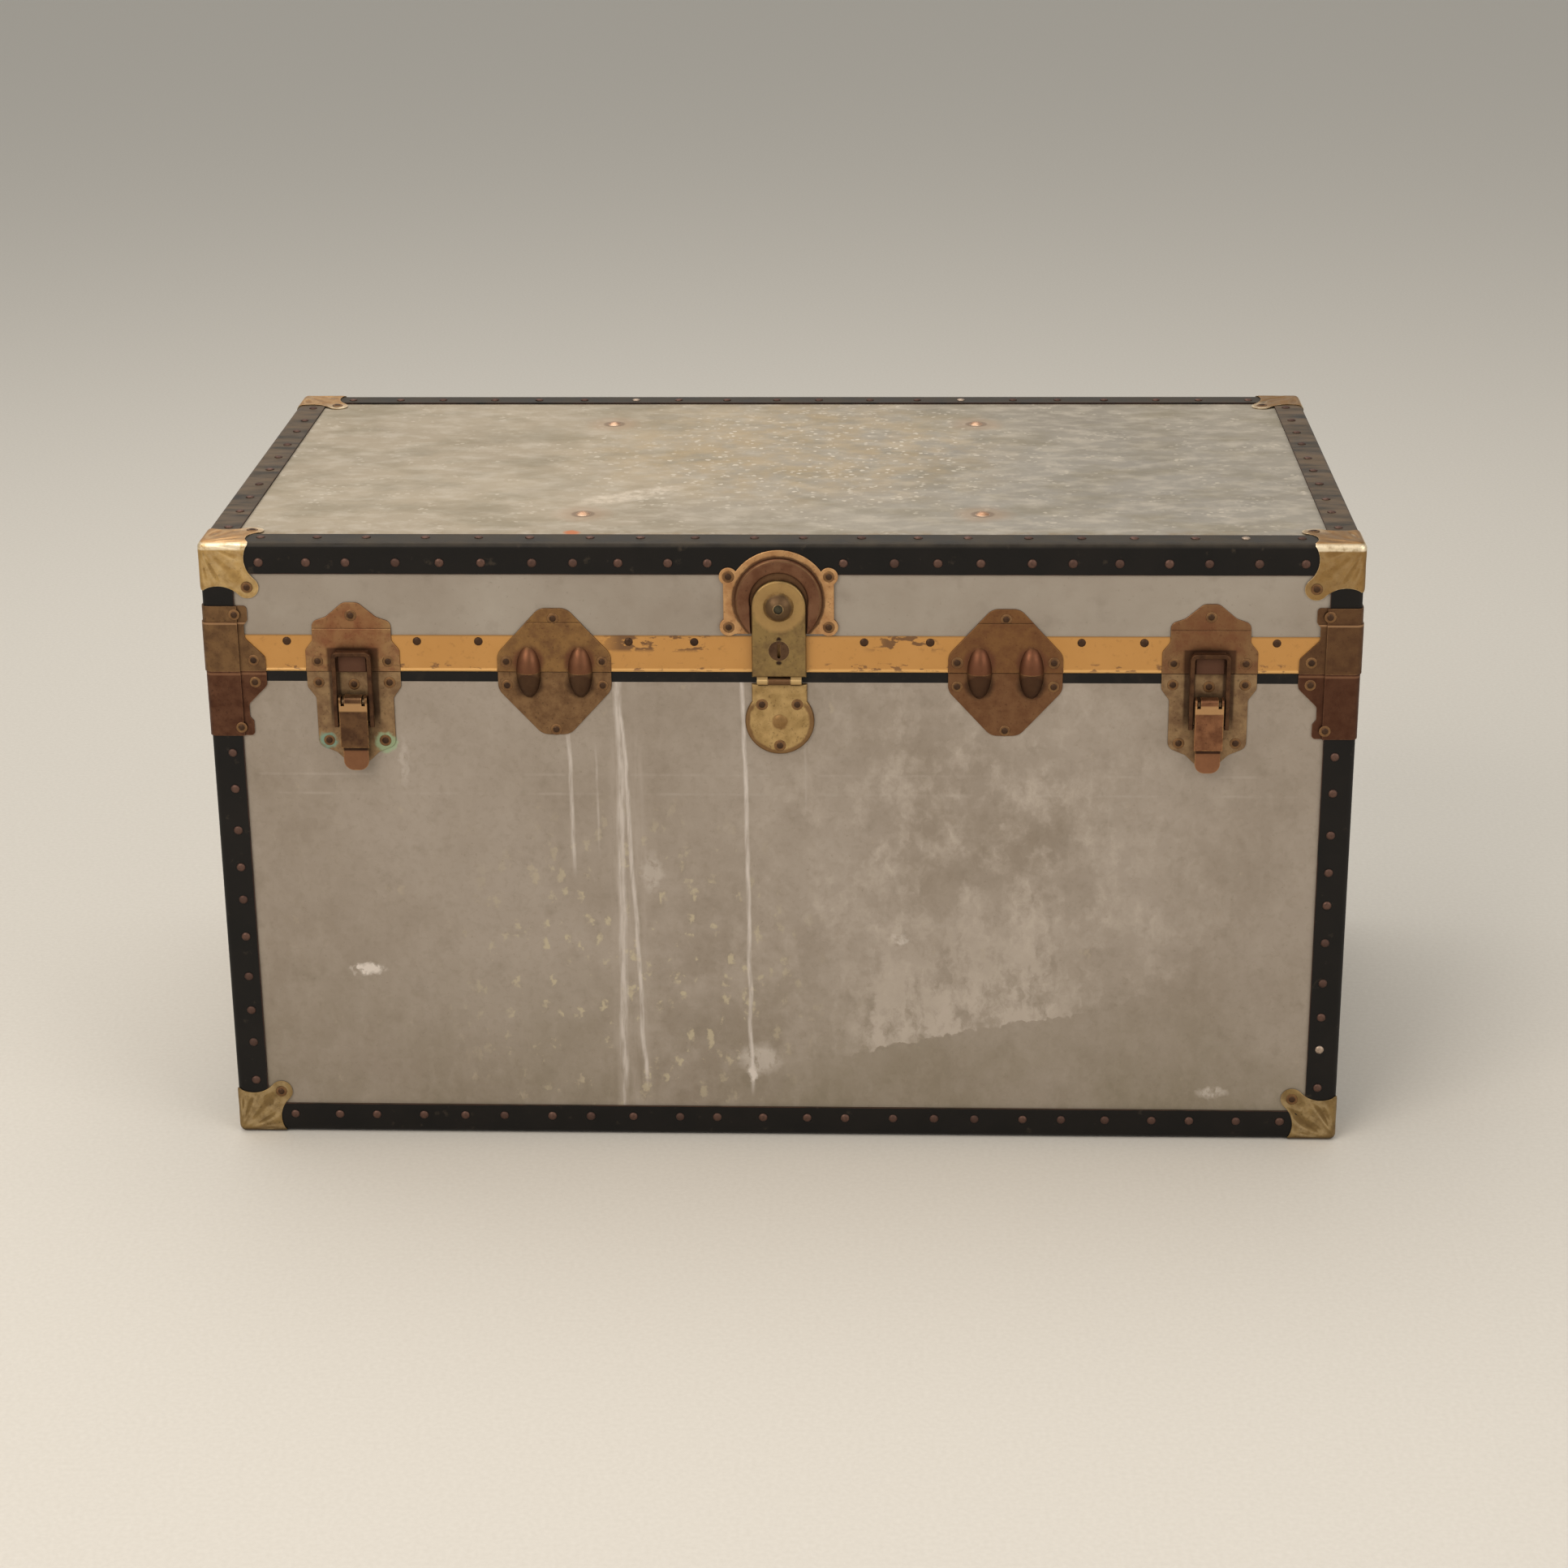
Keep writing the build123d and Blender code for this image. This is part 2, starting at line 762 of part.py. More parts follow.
# Draw bolts: a catch plate on the lid, and on the base a keeper plate with the lever's pin
catch_points = (
    (0, catch_height),
    (6, catch_height),
    (20, catch_height - 12),
    (catch_waist, catch_height - 16),
    (catch_waist, 25.5),
    (catch_ear, 18),
    (catch_ear, 0),
)
catch_outline = mirrored_outline(catch_points, [8, 10, 6, 5, 5])
keeper_points = (
    (0, -keeper_depth),
    (9, -keeper_depth),
    (17, 8 - keeper_depth),
    (31, 14 - keeper_depth),
    (31, -22),
    (catch_ear, -13),
    (catch_ear, 0),
)
keeper_outline = mirrored_outline(keeper_points, [5, 6, 7, 5, 5])

lever_pivot = (lever_pivot_level, rim_z - lever_pivot_drop)
loop_pivot = (loop_pivot_level, rim_z - lever_pivot_drop - loop_pivot_drop)
flange_inner = lever_width / 2 - lever_sheet
ear_outer = flange_inner - ear_gap
pin_half = lever_width / 2 + pin_gap + pin_head_gap
loop_inner = lever_width / 2 + loop_side_gap
web_out = lever_inner + lever_sheet
lever_back = ear_radius + pin_gap

# The lever's flange and its folded web, each seen from the side and measured from the pivot
lever_flange_points = (
    (-lever_back, lever_top),
    (web_out, lever_top),
    (web_out, -lever_drop),
    (1.5, -lever_drop),
    (-1.5, -21.5),
    (-1.5, -12),
    (-lever_back, -4),
)
lever_web_points = (
    (-lever_back, lever_top),
    (web_out, lever_top),
    (web_out, -lever_drop),
    (tongue_level, -lever_drop),
    (tongue_level, lever_sheet - lever_drop),
    (lever_inner, lever_sheet - lever_drop),
    (lever_inner, lever_top - lever_sheet),
    (-lever_back, lever_top - lever_sheet),
)


def lever_profile(points):
    """A closed outline with the lever's two rounded outer corners."""
    with BuildSketch() as profile:
        with BuildLine():
            Polyline(*points, points[0])
        make_face()
        outer = profile.vertices().group_by(Axis.X)[-1]
        fillet(outer.group_by(Axis.Y)[-1], lever_top_round)
        fillet(outer.group_by(Axis.Y)[0], lever_end_round)
    return profile.sketch


def tab(width, start, end, radius):
    """An upright tab from one height to another, rounded at its end's corners."""
    with BuildSketch() as shape:
        with Locations((0, (start + end) / 2)):
            Rectangle(width, abs(end - start))
        fillet(shape.vertices().group_by(Axis.Y)[-1 if end > start else 0], radius)
    return shape.sketch


def fitting_plate(outline, level, at, low, high, floor_height):
    """A pressed plate on the front, cut from an outline between two heights from the seam."""
    with BuildPart() as plate:
        with BuildSketch(wall("front", level, at)):
            with Locations((0, floor_height)):
                add(band_between(outline, low, high))
        extrude(amount=plate_thickness)
        fillet(plate.faces().sort_by(Axis.Y)[0].edges(), plate_edge)
    return plate.part


def creased_plate(outline, at, crease):
    """A lid plate: it lies on the band up to its crease, and on the sheet above that."""
    return [
        fitting_plate(outline, band_level, at, 0, crease, lid_rim_z),
        fitting_plate(outline, sheet_level, at, crease - plate_thickness, wide, lid_rim_z),
    ]


def catch(x):
    plates = creased_plate(catch_outline, x, catch_crease)
    with BuildPart() as piece:
        with BuildSketch(wall("front", band_level, x)):
            with Locations((0, lid_rim_z + catch_block_lift + catch_block_height / 2)):
                Rectangle(catch_block_width, catch_block_height)
        extrude(amount=catch_block_level - band_level)
        fillet(piece.faces().sort_by(Axis.Y)[0].edges(), catch_block_round)
        add(plates)
    return piece.part


def keeper(x):
    plate = fitting_plate(keeper_outline, sheet_level, x, -wide, 0, rim_z)
    with BuildPart() as piece:
        add(plate)
        for way in (-1, 1):
            with BuildSketch(section("front", x + way * (ear_outer - ear_thickness / 2))):
                with Locations(lever_pivot):
                    Circle(ear_radius)
                    Rectangle(
                        lever_pivot_level - sheet_level, 2 * ear_radius, align=(Align.MAX, Align.CENTER)
                    )
            extrude(amount=ear_thickness / 2, both=True)
        with BuildSketch(section("front", x)):
            with Locations(lever_pivot):
                Circle(pin_radius)
        extrude(amount=pin_half, both=True)
    return piece.part


def lever(x):
    web = lever_profile(lever_web_points)
    flange = lever_profile(lever_flange_points)
    tongue = tab(tongue_width, lever_sheet - lever_drop, -lever_drop - tongue_length, tongue_round)
    slot_width = flange_inner - ear_outer + ear_thickness + ear_slot_gap
    with BuildPart() as piece:
        with BuildSketch(section("front", x)):
            with Locations(lever_pivot):
                add(web)
        extrude(amount=lever_width / 2, both=True)
        for way in (-1, 1):
            with BuildSketch(wall("front", 0, x + way * (flange_inner - slot_width / 2))):
                with Locations((0, lever_pivot[1] - ear_slot_drop)):
                    Rectangle(slot_width, lever_drop, align=(Align.CENTER, Align.MIN))
            extrude(amount=2 * lever_pivot_level, mode=Mode.SUBTRACT)
        for way in (-1, 1):
            with BuildSketch(section("front", x + way * (flange_inner + lever_sheet / 2))):
                with Locations(lever_pivot):
                    add(flange)
                with Locations(lever_pivot, loop_pivot):
                    Circle(pin_radius + pin_gap, mode=Mode.SUBTRACT)
            extrude(amount=lever_sheet / 2, both=True)
        with BuildSketch(wall("front", lever_pivot_level + tongue_level, x)):
            with Locations((0, lever_pivot[1])):
                add(tongue)
        extrude(amount=lever_sheet)
    return piece


def loop(x):
    outer = tab(2 * (loop_inner + loop_bar), -loop_tail, loop_rise, loop_outer_round)
    opening = tab(2 * loop_inner, -2 * loop_tail, loop_rise - loop_bar, loop_inner_round)
    with BuildPart() as piece:
        with BuildSketch(wall("front", loop_pivot_level - loop_depth / 2, x)):
            with Locations((0, loop_pivot[1])):
                add(outer)
                add(opening, mode=Mode.SUBTRACT)
        extrude(amount=loop_depth)
        fillet(piece.faces().sort_by(Axis.Y)[0].edges().filter_by(Axis.Y, reverse=True), loop_edge)
        with BuildSketch(section("front", x)):
            with Locations(loop_pivot):
                Circle(pin_radius)
        extrude(amount=loop_inner + loop_bar / 2, both=True)
    return piece


catch_pair = [catch(x) for x in latch_places.values()]
keeper_pair = [keeper(x) for x in latch_places.values()]
with BuildPart() as drawbolt_catches:
    add(catch_pair)
finish(drawbolt_catches, "drawbolt_catches")
with BuildPart() as drawbolt_keepers:
    add(keeper_pair)
finish(drawbolt_keepers, "drawbolt_keepers")
for side, x in latch_places.items():
    finish(lever(x), f"drawbolt_lever_{side}")
    finish(loop(x), f"drawbolt_loop_{side}")


# Dowel plates: two bumps in each pair, with dowels in the lid's half and holes in the base's
dowel_points = ((0, dowel_height), (dowel_tip, dowel_height), (dowel_half_width, dowel_shoulder), (dowel_half_width, 0))
lid_dowel_outline = mirrored_outline(dowel_points, [dowel_round, dowel_round])
with BuildSketch() as base_dowel_outline:
    mirror(lid_dowel_outline, about=Plane.XZ)

with BuildPart() as bump:
    with BuildSketch(Plane.XZ):
        Ellipse(bump_radius, bump_half_height)
        Rectangle(wide, wide, align=(Align.MIN, Align.CENTER), mode=Mode.INTERSECT)
    revolve(axis=Axis.Z)


def bump_pair(x, back_level, edge_z, way):
    """The two bumps of a dowel plate, above the seam or below it, in front of a level."""
    axis_y = -(half_depth + back_level + plate_thickness - bump_sink)
    with BuildPart() as pair:
        with Locations((x - bump_offset, axis_y, edge_z), (x + bump_offset, axis_y, edge_z)):
            add(bump.part)
        with BuildSketch(wall("front", back_level, x)):
            with Locations((0, edge_z)):
                Rectangle(wide, wide, align=(Align.CENTER, Align.MIN if way > 0 else Align.MAX))
        extrude(amount=wide, mode=Mode.INTERSECT)
    return pair.part


dowel_places = [x + way * bump_offset for x in (-dowel_offset, dowel_offset) for way in (-1, 1)]
dowel_points_xy = [(x, -half_depth - dowel_level) for x in dowel_places]
lid_dowel_pieces = []
base_dowel_pieces = []
for x in (-dowel_offset, dowel_offset):
    lid_dowel_pieces += creased_plate(lid_dowel_outline, x, dowel_crease)
    lid_dowel_pieces.append(bump_pair(x, band_level, lid_rim_z, 1))
    base_dowel_pieces.append(fitting_plate(base_dowel_outline.sketch, sheet_level, x, -wide, 0, rim_z))
    base_dowel_pieces.append(bump_pair(x, sheet_level, rim_z, -1))

with BuildPart() as lid_dowel_plates:
    add(lid_dowel_pieces)
    with BuildSketch(Plane.XY.offset(lid_rim_z - dowel_length)):
        with Locations(*dowel_points_xy):
            Circle(dowel_radius)
    extrude(amount=dowel_length + bump_sink)
finish(lid_dowel_plates, "lid_dowel_plates")

with BuildPart() as base_dowel_plates:
    add(base_dowel_pieces)
    with BuildSketch(Plane.XY.offset(rim_z)):
        with Locations(*dowel_points_xy):
            Circle(dowel_radius + dowel_gap)
    extrude(amount=-dowel_length - dowel_gap, mode=Mode.SUBTRACT)
finish(base_dowel_plates, "base_dowel_plates")


# Lock: a plate with a raised ring on the lid, partly over the top binding
lock_centre_z = lid_rim_z + lock_centre_rise
lock_step_z = top_z - strip_end
with BuildSketch() as lock_outline:
    with Locations((0, lock_centre_rise)):
        Circle(lock_arch_radius)
    with Locations((0, lock_bottom_rise)):
        Rectangle(wide, wide, align=(Align.CENTER, Align.MIN), mode=Mode.INTERSECT)
    with Locations((0, (lock_bottom_rise + lock_upper_nail_rise) / 2)):
        Rectangle(2 * lock_half_width, lock_upper_nail_rise - lock_bottom_rise)
    with Locations(
        (-lock_nail_x, lock_upper_nail_rise),
        (lock_nail_x, lock_upper_nail_rise),
        (-lock_nail_x, lock_lower_nail_rise),
        (lock_nail_x, lock_lower_nail_rise),
    ):
        Circle(lock_ear_radius)

with BuildPart() as lock_ring:
    with BuildSketch(wall("front", lock_plate_level)):
        with Locations((0, lock_centre_z)):
            Circle(ring_outer_radius)
            Circle(ring_inner_radius, mode=Mode.SUBTRACT)
            Rectangle(
                2 * (hasp_half_width + hasp_gap),
                2 * ring_outer_radius,
                align=(Align.CENTER, Align.MAX),
                mode=Mode.SUBTRACT,
            )
    extrude(amount=ring_height)
    fillet(lock_ring.faces().sort_by(Axis.Y)[0].edges(), ring_round)

with BuildPart() as lock_plate:
    for back_level, low, high in (
        (sheet_level, 0, lock_step_z - lid_rim_z),
        (0, lock_step_z - lid_rim_z, lid_height),
    ):
        with BuildSketch(wall("front", back_level)):
            with Locations((0, lid_rim_z)):
                add(band_between(lock_outline.sketch, low, high))
        extrude(amount=lock_plate_level - back_level)
    fillet(lock_plate.faces().sort_by(Axis.Y)[0].edges(), plate_edge)
    add(lock_ring.part)
finish(lock_plate, "lock_plate")

# Hasp, hinged on the base's lock plate, with a domed boss for its button and a drum for the key
hasp_axis = (hasp_hinge_level, rim_z - hasp_hinge_drop)
hasp_end_z = lid_rim_z + hasp_end_rise
hasp_start_z = hasp_axis[1] + hasp_barrel_radius + hasp_relief
hasp_front = hasp_level + hasp_thickness
knuckle_place = (hasp_middle_knuckle + hasp_knuckle) / 2 + fit_gap
boss = dome(dome_radius, dome_height)
flange_level = hasp_front
counterbore_depth = flange_level + button_flange + pin_gap - hasp_level

with BuildPart() as hasp:
    with BuildSketch(wall("front", hasp_level)):
        with Locations((0, hasp_end_z)):
            Circle(hasp_half_width)
            Rectangle(2 * hasp_half_width, hasp_end_z - hasp_start_z, align=(Align.CENTER, Align.MAX))
    extrude(amount=hasp_thickness)
    fillet(hasp.faces().sort_by(Axis.Y)[0].edges(), hasp_edge)
    for way in (-1, 1):
        with BuildSketch(section("front", way * knuckle_place)):
            with Locations(hasp_axis):
                Circle(hasp_barrel_radius)
            with Locations((hasp_level, hasp_axis[1])):
                Rectangle(
                    hasp_thickness - plate_edge,
                    hasp_start_z - hasp_axis[1] + 2 * hasp_edge,
                    align=(Align.MIN, Align.MIN),
                )
            with Locations(hasp_axis):
                Circle(hasp_pin_radius + hinge_pin_gap, mode=Mode.SUBTRACT)
        extrude(amount=hasp_knuckle / 2, both=True)
    with Locations(wall("front", hasp_front).location * Location((0, hasp_end_z, 0))):
        add(boss)
    with BuildSketch(wall("front", hasp_level)):
        with Locations((0, hasp_end_z)):
            Circle(button_radius + pin_gap)
        with Locations((0, lid_rim_z + drum_rise)):
            Circle(drum_radius + pin_gap)
    extrude(amount=wide, mode=Mode.SUBTRACT)
    with BuildSketch(wall("front", hasp_level)):
        with Locations((0, hasp_end_z)):
            Circle(button_flange_radius + fit_gap)
    extrude(amount=counterbore_depth, mode=Mode.SUBTRACT)
finish(hasp, "hasp")

with BuildPart() as release_button:
    with BuildSketch(wall("front", flange_level)):
        with Locations((0, hasp_end_z)):
            Circle(button_flange_radius)
    extrude(amount=button_flange)
    with BuildSketch(wall("front", flange_level)):
        with Locations((0, hasp_end_z)):
            Circle(button_radius)
    extrude(amount=dome_height - button_sink)
finish(release_button, "release_button")

with BuildPart() as keyhole_drum:
    with BuildSketch(wall("front", hasp_level)):
        with Locations((0, lid_rim_z + drum_rise)):
            Circle(drum_radius)
            SlotOverall(key_slot_length, key_slot_width, rotation=90, mode=Mode.SUBTRACT)
    extrude(amount=hasp_thickness + drum_proud)
finish(keyhole_drum, "keyhole_drum")

stud_dome = dome(lock_stud_radius, lock_stud_height)
with BuildPart() as lock_base_plate:
    with BuildSketch(wall("front", sheet_level)):
        with Locations((0, rim_z - lock_base_drop)):
            Circle(lock_base_radius)
            Rectangle(
                2 * lock_neck_half_width,
                lock_base_drop - hasp_hinge_drop - hasp_barrel_radius,
                align=(Align.CENTER, Align.MIN),
            )
    extrude(amount=lock_base_thickness)
    fillet(lock_base_plate.faces().sort_by(Axis.Y)[0].edges(), hasp_edge)
    with BuildSketch(section("front")):
        with Locations(hasp_axis):
            Circle(hasp_barrel_radius)
        with Locations((sheet_level, hasp_axis[1])):
            Rectangle(lock_base_thickness, 2 * hasp_barrel_radius + hasp_edge, align=(Align.MIN, Align.MAX))
        with Locations(hasp_axis):
            Circle(hasp_pin_radius + hinge_pin_gap, mode=Mode.SUBTRACT)
    extrude(amount=hasp_middle_knuckle / 2, both=True)
    with Locations(
        wall("front", sheet_level + lock_base_thickness).location
        * Location((0, rim_z - lock_base_drop, 0))
    ):
        add(stud_dome)
finish(lock_base_plate, "lock_base_plate")


# Back hinges: the base's leaf has three knuckles, the lid's has two between them
knuckle_length = (hinge_width - (hinge_knuckles - 1) * fit_gap) / hinge_knuckles
knuckle_centres = [
    (i - (hinge_knuckles - 1) / 2) * (knuckle_length + fit_gap) for i in range(hinge_knuckles)
]
hinge_axis = (hinge_axis_level, hinge_z)
leaf_start = hinge_barrel_radius + hinge_relief


def hinge_leaf(at, level, way, centres):
    """A leaf above or below the seam, with the webs that carry its knuckles."""
    leaf = tab(hinge_width, hinge_z + way * leaf_start, hinge_z + way * hinge_leaf_height, hinge_leaf_round)
    inner = Align.MAX if way > 0 else Align.MIN
    with BuildPart() as piece:
        with BuildSketch(wall("back", level, at)):
            add(leaf)
        extrude(amount=hinge_leaf_thickness)
        for centre in centres:
            with BuildSketch(section("back", at + centre)):
                with Locations(hinge_axis):
                    Circle(hinge_barrel_radius)
                with Locations((level, hinge_z + way * hinge_barrel_radius)):
                    Rectangle(
                        hinge_axis_level - level, hinge_leaf_thickness, align=(Align.MIN, inner)
                    )
                with Locations((level, hinge_z + way * (leaf_start + hinge_leaf_thickness))):
                    Rectangle(
                        hinge_leaf_thickness,
                        leaf_start - hinge_barrel_radius + 2 * hinge_leaf_thickness,
                        align=(Align.MIN, inner),
                    )
                with Locations(hinge_axis):
                    Circle(hinge_pin_radius + hinge_pin_gap, mode=Mode.SUBTRACT)
            extrude(amount=knuckle_length / 2, both=True)
    return piece.part


base_leaves = [hinge_leaf(at, sheet_level, -1, knuckle_centres[::2]) for at in hinge_offsets]
lid_leaves = [hinge_leaf(at, band_level, 1, knuckle_centres[1::2]) for at in hinge_offsets]
with BuildPart() as hinge_base_leaves:
    add(base_leaves)
finish(hinge_base_leaves, "hinge_base_leaves")
with BuildPart() as hinge_lid_leaves:
    add(lid_leaves)
finish(hinge_lid_leaves, "hinge_lid_leaves")

with BuildPart() as pivot_pins:
    for at in hinge_offsets:
        with BuildSketch(section("back", at)):
            with Locations(hinge_axis):
                Circle(hinge_pin_radius)
        extrude(amount=hinge_width / 2 + hinge_pin_end, both=True)
    with BuildSketch(section("front")):
        with Locations(hasp_axis):
            Circle(hasp_pin_radius)
    extrude(amount=knuckle_place + hasp_knuckle / 2 + hinge_pin_end, both=True)
finish(pivot_pins, "pivot_pins")


# End handles: a leather strap bowed out from each end, its ends held under steel caps
strap_level = sheet_level + strap_thickness / 2
strap_points = (
    (-strap_end, strap_level),
    (-strap_bend_start, strap_level),
    (-strap_bend_end, strap_reach),
    (strap_bend_end, strap_reach),
    (strap_bend_start, strap_level),
    (strap_end, strap_level),
)
with BuildPart() as handle_straps:
    with BuildSketch(Plane(origin=(half_length, 0, handle_height), x_dir=(0, 1, 0), z_dir=(0, 0, -1))):
        with BuildLine() as strap_line:
            FilletPolyline(*strap_points, radius=strap_bend_radius)
        trace(strap_line.line, line_width=strap_thickness)
    extrude(amount=strap_width / 2, both=True)
    mirror(about=Plane.YZ)
finish(handle_straps, "handle_straps")

cap_tunnel = strap_width + 2 * fit_gap
cap_outside = cap_tunnel + 2 * handle_cap_wall
cap_width = cap_outside + 2 * handle_cap_flange
cap_middle = handle_cap_end - handle_cap_length / 2
with BuildPart() as handle_cap:
    with BuildSketch(wall("right", sheet_level, cap_middle)):
        with Locations((0, handle_height)):
            Rectangle(handle_cap_length, cap_outside)
    extrude(amount=strap_thickness + fit_gap + handle_cap_wall)
    fillet(handle_cap.faces().sort_by(Axis.X)[-1].edges(), handle_cap_wall * 0.8)
    with BuildSketch(wall("right", sheet_level, cap_middle)):
        with Locations((0, handle_height)):
            RectangleRounded(handle_cap_length, cap_width, handle_cap_round)
    extrude(amount=handle_cap_wall)
    with BuildSketch(wall("right", sheet_level, cap_middle - handle_cap_wall)):
        with Locations((0, handle_height)):
            Rectangle(handle_cap_length, cap_tunnel)
    extrude(amount=strap_thickness + fit_gap, mode=Mode.SUBTRACT)
finish(corner_set(handle_cap.part), "handle_caps")


# Lid stays: brackets with studs on the base and the lid, and two arms that fold between them
def polar(length, angle):
    return Vector(length * math.cos(math.radians(angle)), length * math.sin(math.radians(angle)))


stay_origin = Vector(half_depth + hinge_axis_level, hinge_z)
stay_lid_pivot = stay_origin + polar(stay_short, stay_lid_angle)
stay_base_pivot = stay_origin + polar(stay_long, stay_base_angle)
stay_knee = stay_lid_pivot + polar(stay_long, stay_base_angle)
plate_face = lining_x - stay_plate_thickness
upper_outer = plate_face - stay_layer_gap
upper_inner = upper_outer - stay_bar_thickness
lower_outer = upper_inner - stay_layer_gap
lower_inner = lower_outer - stay_bar_thickness
stay_clear = stay_layer_gap / 2


def stay_plane(x):
    """Plane square to X at the right end: x to the back, y up."""
    return Plane(origin=(x, 0, 0), x_dir=(0, 1, 0), z_dir=(1, 0, 0))


def disc(centre, radius, outer_x, inner_x_end):
    with BuildPart() as cylinder:
        with BuildSketch(stay_plane(outer_x)):
            with Locations((centre.X, centre.Y)):
                Circle(radius)
        extrude(amount=inner_x_end - outer_x)
    return cylinder.part


def stay_bracket(centre, shoulder, arm_inner):
    """A bracket on the lining with its stud: an optional shoulder, then the shaft and its head."""
    parts = [disc(centre, stay_pin_radius, plate_face, arm_inner - stay_clear)]
    parts.append(disc(centre, stay_head_radius, arm_inner - stay_clear, arm_inner - stay_clear - stay_head))
    if shoulder is not None:
        parts.append(disc(centre, stay_shoulder_radius, plate_face, shoulder + stay_clear))
    with BuildPart() as bracket:
        with BuildSketch(stay_plane(lining_x)):
            with Locations((centre.X, centre.Y)):
                RectangleRounded(stay_plate_length, stay_plate_width, stay_plate_round)
        extrude(amount=-stay_plate_thickness)
        add(parts)
    return bracket.part


def stay_arm(start, end, outer_x, end_hole):
    """A flat arm between two pivots, with a running hole at its start."""
    along = end - start
    middle = (start + end) / 2
    turn = math.degrees(math.atan2(along.Y, along.X))
    with BuildPart() as arm:
        with BuildSketch(stay_plane(outer_x)):
            with Locations((middle.X, middle.Y)):
                SlotCenterToCenter(along.length, stay_bar_width, rotation=turn)
            with Locations((start.X, start.Y)):
                Circle(stay_pin_radius + stay_pin_gap, mode=Mode.SUBTRACT)
            if end_hole:
                with Locations((end.X, end.Y)):
                    Circle(stay_pin_radius + stay_knee_gap, mode=Mode.SUBTRACT)
        extrude(amount=-stay_bar_thickness)
    return arm.part


def both_ends(part, name):
    with BuildPart() as pair:
        add(part)
        mirror(about=Plane.YZ)
    finish(pair, name)


both_ends(stay_bracket(stay_base_pivot, lower_outer, lower_inner), "stay_base_brackets")
both_ends(stay_bracket(stay_lid_pivot, None, upper_inner), "stay_lid_brackets")

upper_arm = stay_arm(stay_lid_pivot, stay_knee, upper_outer, True)
lower_pieces = [
    stay_arm(stay_base_pivot, stay_knee, lower_outer, False),
    disc(stay_knee, stay_pin_radius, lower_outer, upper_outer + stay_clear),
    disc(stay_knee, stay_head_radius, upper_outer + stay_clear, upper_outer + stay_clear + stay_head),
]
with BuildPart() as lower_arm:
    add(lower_pieces)
for side in ("right", "left"):
    for part, name in ((upper_arm, "upper"), (lower_arm.part, "lower")):
        with BuildPart() as arm:
            if side == "right":
                add(part)
            else:
                mirror(part, about=Plane.YZ)
        finish(arm, f"stay_{name}_arm_{side}")


# Nails, heads only: rows on the bindings, set by hand
def spot(side, level, at, height):
    """Place for a head on a wall."""
    return wall(side, level, at).location * Location((0, height, 0))


base_row = []
lid_row = []
for side in WALLS:
    long_side = side in ("front", "back")
    length = case_length if long_side else case_depth
    for at in row(length, nail_pitch):
        base_row.append(spot(side, 0, at, bottom_z + nail_inset))
        if side != "front" or abs(at) > lock_arch_radius + nail_inset / 2:
            lid_row.append(spot(side, 0, at, top_z - nail_inset))
    for at in row(length, nail_pitch_ends):
        x, y, _ = wall(side, -nail_inset, at).origin
        lid_row.append(Location((x, y, top_z)))
    upright_low = bottom_z + nail_end
    upright_high = rim_z - clamp_height - nail_inset
    count = round((upright_high - upright_low) / nail_pitch_upright) + 1
    for way in (-1, 1):
        at = way * (length / 2 - nail_inset)
        for i in range(count):
            height = upright_low + i * (upright_high - upright_low) / (count - 1)
            base_row.append(spot(side, 0, at, height + nail_wobble * math.sin(1.7 * i)))
finish(heads(base_row, nail_radius, nail_height), "base_binding_nails")
finish(heads(lid_row, nail_radius, nail_height), "lid_binding_nails")

# Nails through the band and the fittings
corner_places = []
for side in WALLS:
    reach = half_length if side in ("front", "back") else half_depth
    for way in (-1, 1):
        corner_places.append((side, way, reach))


def fitting_spots(side, level, centre, floor_height, points):
    """Places for a fitting's nails, from its centre and the seam."""
    return [spot(side, level, centre + x, floor_height + rise) for x, rise in points]


plate_front = sheet_level + plate_thickness
base_spots = []
lid_spots = []
for x in latch_places.values():
    base_spots += fitting_spots("front", plate_front, x, rim_z, keeper_nails)
    lid_spots += fitting_spots("front", band_level + plate_thickness, x, lid_rim_z, catch_lower_nails)
    lid_spots += fitting_spots("front", plate_front, x, lid_rim_z, [catch_upper_nail])
for x in (-dowel_offset, dowel_offset):
    base_spots += fitting_spots("front", plate_front, x, rim_z, dowel_base_nails)
    lid_spots += fitting_spots("front", band_level + plate_thickness, x, lid_rim_z, dowel_lower_nails)
    lid_spots += fitting_spots("front", plate_front, x, lid_rim_z, [dowel_upper_nail])
base_spots += fitting_spots("front", sheet_level + lock_base_thickness, 0, rim_z, lock_base_nails)
lid_spots += fitting_spots(
    "front",
    lock_plate_level,
    0,
    lid_rim_z,
    [(way * lock_nail_x, rise) for way in (-1, 1) for rise in (lock_upper_nail_rise, lock_lower_nail_rise)],
)
for at in hinge_offsets:
    for way in (-1, 1):
        for rise in hinge_nail_rises:
            base_spots.append(
                spot("back", sheet_level + hinge_leaf_thickness, at + way * hinge_nail_x, hinge_z - rise)
            )
            lid_spots.append(
                spot("back", band_level + hinge_leaf_thickness, at + way * hinge_nail_x, hinge_z + rise)
            )
for side, way, reach in corner_places:
    for inset, rise in (clamp_upper_nail, clamp_lower_nail):
        bent = inset < strip_end
        base_level = plate_thickness if bent else plate_front
        lid_level = plate_thickness if bent else band_level + plate_thickness
        base_spots.append(spot(side, base_level, way * (reach - inset), rim_z - rise))
        lid_spots.append(spot(side, lid_level, way * (reach - inset), lid_rim_z + rise))
